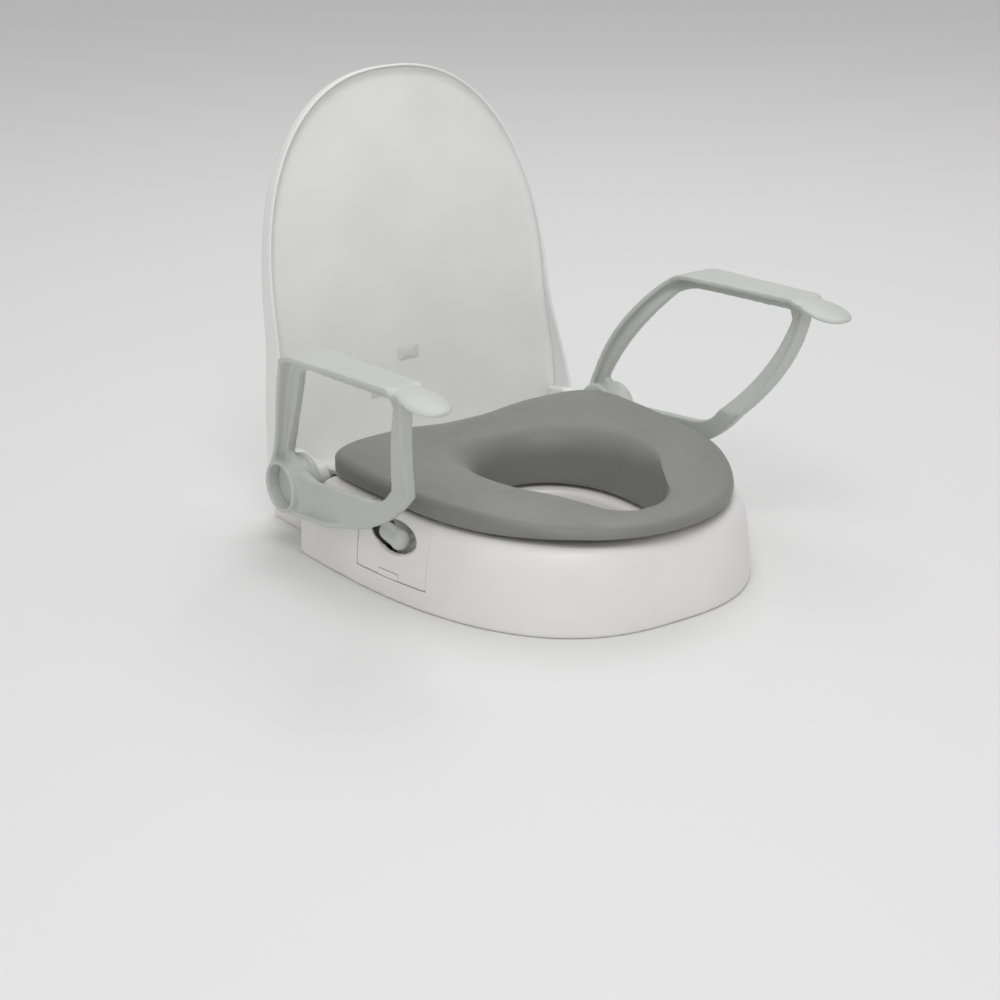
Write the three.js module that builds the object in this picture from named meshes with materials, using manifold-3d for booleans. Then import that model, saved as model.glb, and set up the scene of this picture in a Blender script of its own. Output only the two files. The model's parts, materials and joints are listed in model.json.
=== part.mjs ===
// Raised toilet seat with lid, padded seat and two fold-up arm supports.
// Millimetres, +Z up. The sitter faces -Y, so the sitter's right-hand side is -X.
// The origin is on the floor plane under the middle of the object's box.
import * as THREE from "three";
import { mergeVertices } from "three/addons/utils/BufferGeometryUtils.js";
import Module from "manifold-3d";

const wasm = await Module();
wasm.setup();

// ---- Driving dimensions. Y is counted from the arm pivot axis, Z from the collar's lower edge ----
const PIVOT_Y = 116.1; // the arm pivot axis, ahead of the middle of the object's box
const PIVOT_Z = 73.5; // height of the arm and lid pivot axis
const GAP = 0.35; // running gap between touching pieces
const SIDES = 52; // points round every ring

const COLLAR = { halfWidth: 196.5, centreY: -25.6, front: 340.4, rear: 38, frontPower: 2.63, rearPower: 6 };
const COLLAR_TOP = 84;
const COLLAR_WALL = 3.6;
// Each pair is how far the wall has drawn in from the lower edge, and its height there
const SHOULDER = [[0.8, 0], [0, 3], [0.8, 22], [2.6, 45], [5.5, 64], [10, 76], [17, 82.6]];
const CUSHION = { halfWidth: 166.8, centreY: -140.8, front: 216.8, rear: 130.8, frontPower: 2.05, rearPower: 5,
  spread: 0.07 };
const CUSHION_BASE = 86;
const OPENING = { halfWidth: 78, centreY: -185, front: 129, rear: 99, frontPower: 2.2, rearPower: 2.2 };
const OPENING_CENTRE = new THREE.Vector2(0, -190);
const WELL_FLOOR = 46; // shelf of the collar that shows inside the opening

const REAR_BLOCK = { halfWidth: 165, front: -4, back: 106, height: 42, wall: 4 };
const TOWER = { inner: 142, outer: 160, radius: 11.5 };
const AXLE = { radius: 7, inner: 142, outer: 194, headRadius: 10, headLength: 4, boreRadius: 3.2, boreDepth: 20 };

const LID = { lean: THREE.MathUtils.degToRad(11), rim: 43.1, apex: 394.8, waist: 147.5, halfWidth: 171.4,
  foot: -8, footHalfWidth: 178, power: 2.33, wall: 3, depth: 18, recess: 8 };
const EAR = { inner: 164.5, outer: 176.6, radius: 17, reach: 60, top: 26 };

const ARM = { barrelRadius: 27, barrelWall: 4.5, inner: 188, outer: 216, discRadius: 29.5, discInner: 182.3,
  web: 9, flangeWidth: 24, flangeThickness: 5.5, fadedWidth: 8, fadeLow: 72, fadeHigh: 125, fadeRear: -5,
  blade: 200, bladeInner: 195, leanStart: 70, leanFull: 110, leanSlope: 0.3, restSlope: 0.06, restRear: -84,
  restRearHeight: 241.8 };
const HUB_WEB = 6; // wall across the barrel that carries the bush
const BUSH = { outer: 9.6, inner: 7.25 };
const CAP = { inner: 200.7, outer: 203.3 }; // cover pressed into the barrel over the axle screw

const PANEL = { front: -206, rear: -108, low: 22 };
const TAB = { front: -170, rear: -141, height: 6 };
const CATCH = { x: 181, y: -166, z: 62, radius: 10, stem: 4, stemInner: 149 };
// The finger recesses round a catch: where each lies from the catch's middle, and its radii
const DISHES = [{ at: [8, -6, 10], radii: [20, 31, 17] }, { at: [-3, 4, 1], radii: [15, 27, 14] }];

// ---- Materials ----
const finishes = {
  shell: [0xf3f2ef, 0.38, 0],
  panel: [0xf2f1ee, 0.4, 0],
  lid: [0xf5f4f2, 0.35, 0],
  arm: [0xc3c6be, 0.45, 0],
  cushion: [0x85867f, 0.6, 0],
  tray: [0x6d6e68, 0.6, 0],
  steel: [0xb9bcbd, 0.3, 1],
  nylon: [0xe9e7df, 0.5, 0],
  rubber: [0x3b3c3a, 0.8, 0],
  label: [0xe9e9e6, 0.55, 0],
};
function finish(kind) {
  const [color, roughness, metalness] = finishes[kind];
  return new THREE.MeshStandardMaterial({ color, roughness, metalness });
}

// ---- Solids ----
function solidOf(geometry) {
  const bare = (geometry.index ? geometry.toNonIndexed() : geometry).clone();
  bare.deleteAttribute("normal");
  bare.deleteAttribute("uv");
  const welded = mergeVertices(bare, 1e-4);
  const vertProperties = new Float32Array(welded.attributes.position.array);
  const triVerts = new Uint32Array(welded.index.array);
  return new wasm.Manifold(new wasm.Mesh({ numProp: 3, vertProperties, triVerts }));
}
function geometryOf(solid) {
  const mesh = solid.getMesh();
  const geometry = new THREE.BufferGeometry();
  geometry.setAttribute("position", new THREE.BufferAttribute(new Float32Array(mesh.vertProperties), 3));
  geometry.setIndex(new THREE.BufferAttribute(new Uint32Array(mesh.triVerts), 1));
  geometry.computeVertexNormals();
  return geometry;
}
function moved(geometry, x, y, z) {
  return geometry.translate(x, y, z);
}
function block(x0, x1, y0, y1, z0, z1) {
  const geometry = new THREE.BoxGeometry(x1 - x0, y1 - y0, z1 - z0);
  return solidOf(moved(geometry, (x0 + x1) / 2, (y0 + y1) / 2, (z0 + z1) / 2));
}
/** A round bar along X between two X positions. */
function barX(x0, x1, radius, y = 0, z = PIVOT_Z, sides = 24) {
  const geometry = new THREE.CylinderGeometry(radius, radius, x1 - x0, sides).rotateZ(Math.PI / 2);
  return solidOf(moved(geometry, (x0 + x1) / 2, y, z));
}
/** A round bar along Z between two heights. */
function barZ(x, y, z0, z1, radius, sides = 16) {
  const geometry = new THREE.CylinderGeometry(radius, radius, z1 - z0, sides).rotateX(Math.PI / 2);
  return solidOf(moved(geometry, x, y, (z0 + z1) / 2));
}
/** A cone along Z that narrows upwards. */
function coneZ(x, y, z0, z1, lowRadius, highRadius) {
  const geometry = new THREE.CylinderGeometry(highRadius, lowRadius, z1 - z0, 20).rotateX(Math.PI / 2);
  return solidOf(moved(geometry, x, y, (z0 + z1) / 2));
}
/** Turns a geometry over the X = 0 plane and keeps its faces pointing out. */
function mirrored(geometry) {
  const twin = geometry.clone();
  twin.scale(-1, 1, 1);
  const order = twin.index.array;
  for (let i = 0; i < order.length; i += 3) {
    [order[i + 1], order[i + 2]] = [order[i + 2], order[i + 1]];
  }
  twin.computeVertexNormals();
  return twin;
}

// ---- Outlines and skins ----
/** A closed egg: a front and a rear half superellipse that share their widest line. */
function egg(shape, steps = 720) {
  const { halfWidth, centreY, front, rear, frontPower, rearPower, spread = 0 } = shape;
  const points = [];
  for (let i = 0; i < steps; i += 1) {
    const angle = (i / steps) * 2 * Math.PI;
    const [c, s] = [Math.cos(angle), Math.sin(angle)];
    const power = s < 0 ? frontPower : rearPower;
    const reach = s < 0 ? -front : rear;
    const dy = reach * Math.abs(s) ** (2 / power);
    const width = halfWidth + spread * Math.max(dy, 0);
    points.push(new THREE.Vector2(Math.sign(c) * width * Math.abs(c) ** (2 / power), centreY + dy));
  }
  return points;
}
/** Moves every point of a closed outline inwards by a distance, square to the outline. */
function inset(points, distance) {
  const count = points.length;
  return points.map((point, i) => {
    const before = points[(i + count - 1) % count];
    const after = points[(i + 1) % count];
    const along = after.clone().sub(before).normalize();
    return new THREE.Vector2(point.x - along.y * distance, point.y + along.x * distance);
  });
}
/** Resamples an outline at equal angles about a centre, so that nested outlines match point to point. */
function byAngle(points, centre) {
  const polar = points.map((point) => Math.atan2(point.y - centre.y, point.x - centre.x));
  const ring = [];
  for (let k = 0; k < SIDES; k += 1) {
    const angle = -Math.PI + ((k + 0.5) / SIDES) * 2 * Math.PI;
    for (let i = 0; i < points.length; i += 1) {
      const j = (i + 1) % points.length;
      let [a, b] = [polar[i], polar[j]];
      if (b < a - Math.PI) b += 2 * Math.PI;
      const target = angle < a && b > Math.PI ? angle + 2 * Math.PI : angle;
      if (target >= a && target < b) {
        ring.push(points[i].clone().lerp(points[j], (target - a) / (b - a)));
        break;
      }
    }
  }
  return ring;
}
/** Skins a stack of equal rings. A looped stack closes on itself; an open one gets end caps. */
function skin(rings, looped) {
  const count = rings[0].length;
  const points = rings.flat();
  const faces = [];
  const rows = looped ? rings.length : rings.length - 1;
  for (let row = 0; row < rows; row += 1) {
    const next = (row + 1) % rings.length;
    for (let i = 0; i < count; i += 1) {
      const j = (i + 1) % count;
      const [a, b] = [row * count + i, row * count + j];
      const [c, d] = [next * count + i, next * count + j];
      faces.push(a, b, d, a, d, c);
    }
  }
  if (!looped) {
    for (const [row, flip] of [[0, true], [rings.length - 1, false]]) {
      const middle = new THREE.Vector3();
      for (const point of rings[row]) middle.addScaledVector(point, 1 / count);
      const hub = points.length;
      points.push(middle);
      for (let i = 0; i < count; i += 1) {
        const [a, b] = [row * count + i, row * count + ((i + 1) % count)];
        faces.push(...(flip ? [hub, b, a] : [hub, a, b]));
      }
    }
  }
  const geometry = new THREE.BufferGeometry().setFromPoints(points);
  geometry.setIndex(faces);
  return outward(geometry);
}
/** Flips a closed geometry whose faces point in. */
function outward(geometry) {
  const [p, order] = [geometry.attributes.position, geometry.index.array];
  const [a, b, c] = [new THREE.Vector3(), new THREE.Vector3(), new THREE.Vector3()];
  let volume = 0;
  for (let i = 0; i < order.length; i += 3) {
    a.fromBufferAttribute(p, order[i]);
    b.fromBufferAttribute(p, order[i + 1]);
    c.fromBufferAttribute(p, order[i + 2]);
    volume += a.dot(b.cross(c));
  }
  if (volume < 0) {
    for (let i = 0; i < order.length; i += 3) [order[i + 1], order[i + 2]] = [order[i + 2], order[i + 1]];
  }
  geometry.computeVertexNormals();
  return geometry;
}
function level(ring, z) {
  return ring.map((point) => new THREE.Vector3(point.x, point.y, z));
}
function between(ringA, ringB, share) {
  return ringA.map((point, i) => point.clone().lerp(ringB[i], share));
}

const collarEdge = byAngle(egg(COLLAR), OPENING_CENTRE);
const cushionEdge = byAngle(egg(CUSHION), OPENING_CENTRE);
const openingEdge = byAngle(egg(OPENING), OPENING_CENTRE);
const collarIn = (distance) => inset(collarEdge, distance);
const cushionIn = (distance) => inset(cushionEdge, distance);
const openingOut = (distance) => inset(openingEdge, -distance);

// ---- Base: collar, side panels, bracket, pads ----
/** The moulded wall all round: skirt, shoulder, seat ledge, well and drip edge. */
function collarShell() {
  const wall = COLLAR_WALL;
  const outside = [...SHOULDER, [25, COLLAR_TOP]];
  const rings = outside.map(([distance, z]) => level(collarIn(distance), z));
  rings.push(level(openingOut(21), COLLAR_TOP));
  rings.push(level(openingOut(18), WELL_FLOOR));
  rings.push(level(openingOut(-4), WELL_FLOOR - 2));
  rings.push(level(openingOut(-7), 14));
  rings.push(level(openingOut(-7 + wall), 14));
  rings.push(level(openingOut(-2), WELL_FLOOR - 2 - wall));
  rings.push(level(openingOut(18 + wall), WELL_FLOOR - wall));
  rings.push(level(openingOut(21 + wall), COLLAR_TOP - wall));
  rings.push(level(collarIn(25), COLLAR_TOP - wall));
  rings.push(level(collarIn(13 + wall), 76));
  rings.push(level(collarIn(5 + wall), 58));
  rings.push(level(collarIn(0.8 + wall), 22));
  rings.push(level(collarIn(0.8 + wall), 0));
  return solidOf(skin(rings, true));
}
/** The whole volume inside the collar's outer face. */
function collarEnvelope() {
  return solidOf(skin(SHOULDER.slice(1).map(([distance, z]) => level(collarIn(distance), z)), false));
}
/** The lower, narrower block behind the skirt, open underneath. */
function rearBlock() {
  const { halfWidth, front, back, height, wall } = REAR_BLOCK;
  const corner = 10;
  const plan = new THREE.Shape();
  plan.moveTo(-halfWidth, front);
  plan.lineTo(halfWidth, front);
  plan.lineTo(halfWidth, back - corner);
  plan.absarc(halfWidth - corner, back - corner, corner, 0, Math.PI / 2, false);
  plan.lineTo(-halfWidth + corner, back);
  plan.absarc(-halfWidth + corner, back - corner, corner, Math.PI / 2, Math.PI, false);
  const bevel = 3;
  const options = { depth: height - bevel, bevelEnabled: false, curveSegments: 6 };
  const lower = solidOf(new THREE.ExtrudeGeometry(plan, options));
  const lid = block(-halfWidth + bevel, halfWidth - bevel, front, back - bevel, height - bevel - 1, height);
  const hollow = block(-halfWidth + wall, halfWidth - wall, front - 1, back - wall, -1, height - wall);
  return lower.add(lid).subtract(hollow);
}
/** Bosses, towers and posts under and on the collar. */
function axleTower(side) {
  const [x0, x1] = side > 0 ? [TOWER.inner, TOWER.outer] : [-TOWER.outer, -TOWER.inner];
  const leg = block(x0, x1, -TOWER.radius, TOWER.radius, REAR_BLOCK.height - 6, PIVOT_Z);
  return barX(x0, x1, TOWER.radius).add(leg);
}
const PAD_PLACES = [[128, -62], [112, -262]];
const PAD = { length: 30, width: 14, low: 9, top: 14 };
function padPost(x, y) {
  return block(x - PAD.width / 2, x + PAD.width / 2, y - PAD.length / 2, y + PAD.length / 2, PAD.top + GAP,
    COLLAR_TOP - 2);
}
const PEG_PLACES = [[128, -82], [118, -238]];
const PEG = { radius: 5, low: 74 };
const BRACKET = { halfWidth: 108, front: 28, back: 96, low: 3, thickness: 3.2, holeX: 77.5, holeY: 62, slot: 7 };
const BOSS = { x: 42, y: 62, radius: 7 };
const SINK = { depth: 2.6, radius: 4.9, throat: 2.4 }; // countersink in the bracket's underside

function panelBox(side, grow) {
  const [near, far] = [100, 240];
  const [x0, x1] = side > 0 ? [near, far] : [-far, -near];
  const { front, rear, low } = PANEL;
  const body = block(x0, x1, front - grow, rear + grow, low - grow, COLLAR_TOP + 20);
  const inboardLimit = 148 + (grow > 0 ? -GAP : 0);
  const [k0, k1] = side > 0 ? [0, inboardLimit] : [-inboardLimit, 0];
  return body.subtract(block(k0, k1, -400, 200, -10, 200));
}
function collar() {
  let solid = collarShell().add(rearBlock());
  for (const side of [-1, 1]) {
    const relief = side > 0 ? [TOWER.outer + 0.4, 260] : [-260, -TOWER.outer - 0.4];
    solid = solid.subtract(barX(relief[0], relief[1], ARM.discRadius + 3.5));
    solid = solid.add(axleTower(side));
    solid = solid.subtract(barX(side > 0 ? 130 : -200, side > 0 ? 200 : -130, AXLE.radius + GAP));
    const pocket = side > 0 ? [130, TOWER.inner - 0.1] : [-TOWER.inner + 0.1, -130];
    solid = solid.subtract(barX(pocket[0], pocket[1], AXLE.headRadius + 1));
    for (const [x, y] of PAD_PLACES) solid = solid.add(padPost(side * x, y));
    for (const [x, y] of PEG_PLACES) solid = solid.subtract(barZ(side * x, y, 60, 100, PEG.radius + GAP));
    solid = solid.add(barZ(side * BOSS.x, BOSS.y, BRACKET.low + BRACKET.thickness + GAP, REAR_BLOCK.height - 1,
      BOSS.radius));
    solid = solid.subtract(barZ(side * BOSS.x, BOSS.y, 0, 26, 2.3, 16));
    solid = solid.subtract(panelBox(side, GAP));
  }
  return geometryOf(solid);
}
const shell = collarShell();
const envelope = collarEnvelope();

/** A round-bottomed finger recess beside a catch. */
function dish(side, { at, radii }) {
  const ball = new THREE.SphereGeometry(1, 18, 10).scale(...radii);
  return solidOf(moved(ball, side * (CATCH.x + at[0]), CATCH.y + at[1], CATCH.z + at[2]));
}
function tabBox(side, grow) {
  const [x0, x1] = side > 0 ? [100, 240] : [-240, -100];
  return block(x0, x1, TAB.front - grow, TAB.rear + grow, PANEL.low - 5, PANEL.low + TAB.height + grow);
}
function sidePanel(side) {
  const backingX = side > 0 ? [150, 240] : [-240, -150];
  const backing = block(backingX[0], backingX[1], CATCH.y - 38, CATCH.y + 30, CATCH.z - 22, COLLAR_TOP - 4);
  let solid = shell.add(backing.intersect(envelope)).intersect(panelBox(side, 0));
  for (const recess of DISHES) solid = solid.subtract(dish(side, recess));
  solid = solid.subtract(tabBox(side, GAP));
  const stem = side > 0 ? [140, 200] : [-200, -140];
  solid = solid.subtract(barX(stem[0], stem[1], CATCH.stem + GAP, CATCH.y, CATCH.z));
  const well = side > 0 ? [140, CATCH.x - 14] : [-CATCH.x + 14, -140];
  return geometryOf(solid.subtract(barX(well[0], well[1], 7.6, CATCH.y, CATCH.z)));
}
function panelTab(side) {
  return geometryOf(shell.intersect(panelBox(side, 0)).intersect(tabBox(side, 0)));
}
function rimPad(x, y) {
  return geometryOf(block(x - PAD.width / 2 - 2, x + PAD.width / 2 + 2, y - PAD.length / 2 - 2,
    y + PAD.length / 2 + 2, PAD.low, PAD.top));
}
function fixingBracket() {
  const { halfWidth, front, back, low, thickness, holeX, holeY, slot } = BRACKET;
  const plate = new THREE.Shape();
  plate.moveTo(-halfWidth, front);
  plate.lineTo(halfWidth, front);
  plate.lineTo(halfWidth, back);
  plate.lineTo(-halfWidth, back);
  for (const side of [-1, 1]) {
    const hole = new THREE.Path();
    hole.absarc(side * holeX, holeY + slot, 4.6, 0, Math.PI, false);
    hole.absarc(side * holeX, holeY - slot, 4.6, Math.PI, 2 * Math.PI, false);
    plate.holes.push(hole);
  }
  const options = { depth: thickness, bevelEnabled: false, curveSegments: 10 };
  let solid = solidOf(moved(new THREE.ExtrudeGeometry(plate, options), 0, 0, low));
  for (const side of [-1, 1]) {
    solid = solid.subtract(barZ(side * BOSS.x, BOSS.y, 0, low + 2 * thickness, SINK.throat, 20));
    solid = solid.subtract(coneZ(side * BOSS.x, BOSS.y, low - 0.1, low + SINK.depth, SINK.radius, SINK.throat));
  }
  return geometryOf(solid);
}
/** A countersunk screw whose head lies inside the bracket. */
function bracketScrew(side) {
  const sunk = BRACKET.low + 0.5;
  const head = coneZ(side * BOSS.x, BOSS.y, sunk, sunk + 2.1, 4, 1.9);
  return geometryOf(head.add(barZ(side * BOSS.x, BOSS.y, sunk + 1, 24, 1.9, 12)));
}

// ---- Arm pivots: shared by the arm and the lid on each side ----
function axle(side) {
  const { radius, inner, outer, headRadius, headLength, boreRadius, boreDepth } = AXLE;
  const place = (a, b) => (side > 0 ? [a, b] : [-b, -a]);
  const [h0, h1] = place(inner - GAP - headLength, inner - GAP);
  const [s0, s1] = place(inner - 1, outer);
  const [b0, b1] = place(outer - boreDepth, outer + 1);
  return geometryOf(barX(h0, h1, headRadius).add(barX(s0, s1, radius)).subtract(barX(b0, b1, boreRadius)));
}
function axleWasher(side) {
  const [x0, x1] = side > 0 ? [AXLE.outer + GAP, AXLE.outer + 2] : [-AXLE.outer - 2, -AXLE.outer - GAP];
  return geometryOf(barX(x0, x1, 13).subtract(barX(x0 - 1, x1 + 1, 3.4, 0, PIVOT_Z, 20)));
}
function axleScrew(side) {
  const place = (a, b) => (side > 0 ? [a, b] : [-b, -a]);
  const headStart = AXLE.outer + 2 + GAP;
  const [h0, h1] = place(headStart, headStart + 3.4);
  const [s0, s1] = place(AXLE.outer - 16, headStart + 1);
  const [k0, k1] = place(headStart + 1.4, headStart + 5);
  const socket = solidOf(moved(new THREE.CylinderGeometry(2.6, 2.6, k1 - k0, 6).rotateZ(Math.PI / 2),
    (k0 + k1) / 2, 0, PIVOT_Z));
  return geometryOf(barX(h0, h1, 6.2, 0, PIVOT_Z, 24).add(barX(s0, s1, 2.9, 0, PIVOT_Z, 16)).subtract(socket));
}
function bush(side, x0, x1) {
  const [a, b] = side > 0 ? [x0, x1] : [-x1, -x0];
  return geometryOf(barX(a, b, BUSH.outer).subtract(barX(a - 1, b + 1, BUSH.inner)));
}

// ---- Lid, in its own frame: X across, S up the lid from the hinge, D back from the hinge ----
function lidPoint(x, s, d) {
  const [c, k] = [Math.cos(LID.lean), Math.sin(LID.lean)];
  return new THREE.Vector3(x, d * c + s * k, PIVOT_Z + s * c - d * k);
}
/** The lid's outline in X and S: an arch above the waist and nearly straight sides down to the foot. */
function lidOutline() {
  const { waist, apex, halfWidth, footHalfWidth, foot, power } = LID;
  const points = [];
  const steps = 120;
  for (let i = 0; i <= steps; i += 1) {
    const angle = (i / steps) * Math.PI;
    const [c, s] = [Math.cos(angle), Math.sin(angle)];
    const arch = (apex - waist) * s ** (2 / power);
    points.push(new THREE.Vector2(Math.sign(c) * halfWidth * Math.abs(c) ** (2 / power), waist + arch));
  }
  const knee = 55;
  const corner = 14;
  points.push(new THREE.Vector2(-footHalfWidth, knee), new THREE.Vector2(-footHalfWidth, foot + corner));
  points.push(new THREE.Vector2(-footHalfWidth + corner, foot), new THREE.Vector2(footHalfWidth - corner, foot));
  points.push(new THREE.Vector2(footHalfWidth, foot + corner), new THREE.Vector2(footHalfWidth, knee));
  return points;
}
const lidCentre = new THREE.Vector2(0, 170);
const lidEdge = byAngle(lidOutline(), lidCentre);
const nearHinge = (s) => THREE.MathUtils.clamp((250 - s) / 250, 0, 1);
/** Depth of the lid's parts behind the hinge axis, as they change up the lid. */
function rimDepth(s) {
  return LID.rim - 15 * THREE.MathUtils.clamp((130 - s) / 130, 0, 1) ** 1.5;
}
function panelDepth(s) {
  return LID.rim + LID.recess + 18 * nearHinge(s) ** 1.3;
}
function backDepth(s) {
  const raised = THREE.MathUtils.smoothstep(312 - s, 0, 22);
  return LID.rim + LID.depth + 4 * raised + 29 * nearHinge(s) ** 1.6;
}
function lidRing(distance, depth) {
  return inset(lidEdge, distance).map((p) => lidPoint(p.x, p.y, depth(p.y)));
}
/** A ring drawn in towards the middle of the lid. */
function lidInnerRing(distance, share, depth) {
  const start = inset(lidEdge, distance);
  return start.map((p) => {
    const q = p.clone().lerp(lidCentre, share);
    return lidPoint(q.x, q.y, depth(q.y));
  });
}
function lidShell() {
  const { wall } = LID;
  const inside = (s) => backDepth(s) - wall;
  const rings = [];
  for (const share of [0.75, 0.35]) rings.push(lidInnerRing(8, share, backDepth));
  rings.push(lidRing(8, backDepth), lidRing(2.5, (s) => backDepth(s) - 2.5));
  rings.push(lidRing(0.5, (s) => backDepth(s) - 8));
  rings.push(lidRing(0, (s) => rimDepth(s) + 1), lidRing(0.8, rimDepth), lidRing(wall, rimDepth));
  rings.push(lidRing(wall, (s) => inside(s) - 4), lidRing(wall + 4, inside));
  for (const share of [0.35, 0.75]) rings.push(lidInnerRing(8, share, inside));
  let solid = solidOf(skin(rings, false));
  for (const side of [-1, 1]) solid = solid.add(lidEar(side));
  for (const side of [-1, 1]) {
    const [x0, x1] = side > 0 ? [EAR.inner - 1, EAR.outer + 3] : [-EAR.outer - 3, -EAR.inner + 1];
    solid = solid.subtract(barX(x0, x1, BUSH.outer + GAP));
  }
  return geometryOf(solid);
}
/** A lug that reaches forward from the lid's side wall to the axle. */
function lidEar(side) {
  const profile = new THREE.Shape();
  profile.absarc(0, 0, EAR.radius, Math.PI / 2, 1.5 * Math.PI, false);
  profile.lineTo(EAR.reach, LID.foot + 2);
  profile.lineTo(EAR.reach, EAR.top);
  profile.lineTo(rimDepth(EAR.top) + 2, EAR.top);
  profile.quadraticCurveTo(14, EAR.radius + 1, 0, EAR.radius);
  const options = { depth: EAR.outer - EAR.inner, bevelEnabled: false, curveSegments: 8 };
  const geometry = new THREE.ExtrudeGeometry(profile, options);
  const basis = new THREE.Matrix4();
  const [across, origin] = [new THREE.Vector3(1, 0, 0), lidPoint(0, 0, 0)];
  const deep = lidPoint(0, 0, 1).sub(origin);
  const up = lidPoint(0, 1, 0).sub(origin);
  basis.makeBasis(deep, up, across);
  const turned = geometry.applyMatrix4(basis);
  const shift = side > 0 ? EAR.inner : -EAR.outer;
  return solidOf(moved(turned, shift, 0, PIVOT_Z));
}
function lidPanel() {
  const edge = LID.wall + GAP;
  const rear = (s) => panelDepth(s) + 2.4;
  const rings = [];
  for (const share of [0.7, 0.35]) rings.push(lidInnerRing(edge, share, rear));
  rings.push(lidRing(edge, rear), lidRing(edge, panelDepth));
  for (const share of [0.35, 0.7]) rings.push(lidInnerRing(edge, share, panelDepth));
  return skin(rings, false);
}
/** A thin blank sticker on the lid's inner face. */
function lidLabel(x, s, width, height) {
  const rings = [0.8, 0.4].map((proud) => {
    const corners = [[-1, -1], [1, -1], [1, 1], [-1, 1]];
    return corners.map(([i, j]) => {
      const [px, ps] = [x + (i * width) / 2, s + (j * height) / 2];
      return lidPoint(px, ps, panelDepth(ps) - proud);
    });
  });
  return skin(rings, false);
}

// ---- Padded seat ----
function seatCushion() {
  const rings = [];
  const side = [[13, CUSHION_BASE + 3], [11, CUSHION_BASE], [3, CUSHION_BASE], [0, CUSHION_BASE + 5], [0.4, 98],
    [5, 106], [14, 110.5]];
  for (const [distance, z] of side) rings.push(level(cushionIn(distance), z));
  rings.push(level(between(cushionIn(14), openingOut(12), 0.4), 113));
  rings.push(level(between(cushionIn(14), openingOut(12), 0.75), 112.5));
  rings.push(level(openingOut(11), 109.5), level(openingOut(4), 104), level(openingOut(0.5), 95));
  rings.push(level(openingOut(0), 60), level(openingOut(1.5), WELL_FLOOR + 2.5), level(openingOut(9), WELL_FLOOR + 1.5));
  rings.push(level(openingOut(15), WELL_FLOOR + 4), level(openingOut(17), CUSHION_BASE + 3));
  return skin(rings, true);
}
function seatCarrier() {
  const rings = [level(cushionIn(15), COLLAR_TOP + GAP), level(cushionIn(15), CUSHION_BASE + 2.5)];
  rings.push(level(openingOut(19), CUSHION_BASE + 2.5), level(openingOut(22), COLLAR_TOP + GAP));
  return skin(rings, true);
}
function carrierPeg(x, y) {
  return geometryOf(barZ(x, y, PEG.low, COLLAR_TOP, PEG.radius, 20));
}

// ---- Arms: drawn in Y and Z, then leaned outwards as they rise ----
function armLean(z) {
  const { blade, leanStart, leanFull, leanSlope } = ARM;
  if (z < leanStart) return blade;
  const ramp = Math.min(z, leanFull) - leanStart;
  const eased = (leanSlope * ramp * ramp) / (2 * (leanFull - leanStart));
  return blade + eased + leanSlope * Math.max(z - leanFull, 0);
}
function leaned(geometry) {
  const p = geometry.attributes.position;
  for (let i = 0; i < p.count; i += 1) p.setX(i, p.getX(i) + armLean(p.getZ(i)));
  return geometry;
}
/** Narrows the flange to less than the web along the blade, so that the blade is a flat plate. */
function fadedFlange(geometry) {
  const { flangeWidth, fadedWidth, fadeLow, fadeHigh, fadeRear } = ARM;
  const p = geometry.attributes.position;
  for (let i = 0; i < p.count; i += 1) {
    const grown = p.getY(i) > fadeRear ? 1 : THREE.MathUtils.smoothstep(p.getZ(i), fadeLow, fadeHigh);
    p.setX(i, p.getX(i) * THREE.MathUtils.lerp(fadedWidth / flangeWidth, 1, grown));
  }
  return geometry;
}
/** Extrudes a shape drawn in Y and Z to a thickness centred on X = 0. */
function plateX(shape, thickness) {
  const options = { depth: thickness, bevelEnabled: false, curveSegments: 6 };
  const geometry = new THREE.ExtrudeGeometry(shape, options);
  geometry.translate(0, 0, -thickness / 2);
  const basis = new THREE.Matrix4();
  basis.makeBasis(new THREE.Vector3(0, 1, 0), new THREE.Vector3(0, 0, 1), new THREE.Vector3(1, 0, 0));
  return geometry.applyMatrix4(basis);
}
function armOuter() {
  const path = new THREE.Shape();
  path.moveTo(36, 84);
  path.quadraticCurveTo(20, 152, -36, 214);
  path.quadraticCurveTo(-56, 240, -90, 242);
  path.lineTo(-268, 252);
  path.quadraticCurveTo(-281, 252, -280, 240);
  path.bezierCurveTo(-262, 150, -200, 66, -60, 52);
  path.lineTo(-14, 47);
  path.quadraticCurveTo(34, 52, 36, 84);
  return path;
}
function armWindow() {
  const path = new THREE.Path();
  path.moveTo(-30, 87);
  path.lineTo(-138, 99);
  path.quadraticCurveTo(-171, 102, -184, 119);
  path.quadraticCurveTo(-228, 160, -250, 230);
  path.lineTo(-248, 236);
  path.lineTo(-112, 227);
  path.quadraticCurveTo(-96, 226, -84, 216);
  path.quadraticCurveTo(-30, 162, -3, 104);
  path.quadraticCurveTo(-20, 98, -30, 87);
  return path;
}
function armRestTop() {
  const plan = new THREE.Shape();
  plan.moveTo(261, -88);
  plan.quadraticCurveTo(261, -50, 238, -48);
  plan.quadraticCurveTo(214, -50, 214, -88);
  plan.lineTo(218.5, -245);
  plan.bezierCurveTo(217, -264, 210, -284, 210, -302);
  plan.bezierCurveTo(210, -324, 220, -331, 235, -331);
  plan.bezierCurveTo(252, -331, 262, -322, 262, -302);
  plan.bezierCurveTo(262, -284, 257, -278, 256.5, -262);
  plan.lineTo(261, -88);
  const { flangeThickness, restSlope, restRear, restRearHeight } = ARM;
  const options = { depth: flangeThickness, bevelEnabled: false, curveSegments: 6 };
  const geometry = new THREE.ExtrudeGeometry(plan, options);
  geometry.translate(0, -restRear, 0).rotateX(-Math.atan(restSlope));
  return solidOf(moved(geometry, 0, restRear, restRearHeight - flangeThickness));
}
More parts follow.
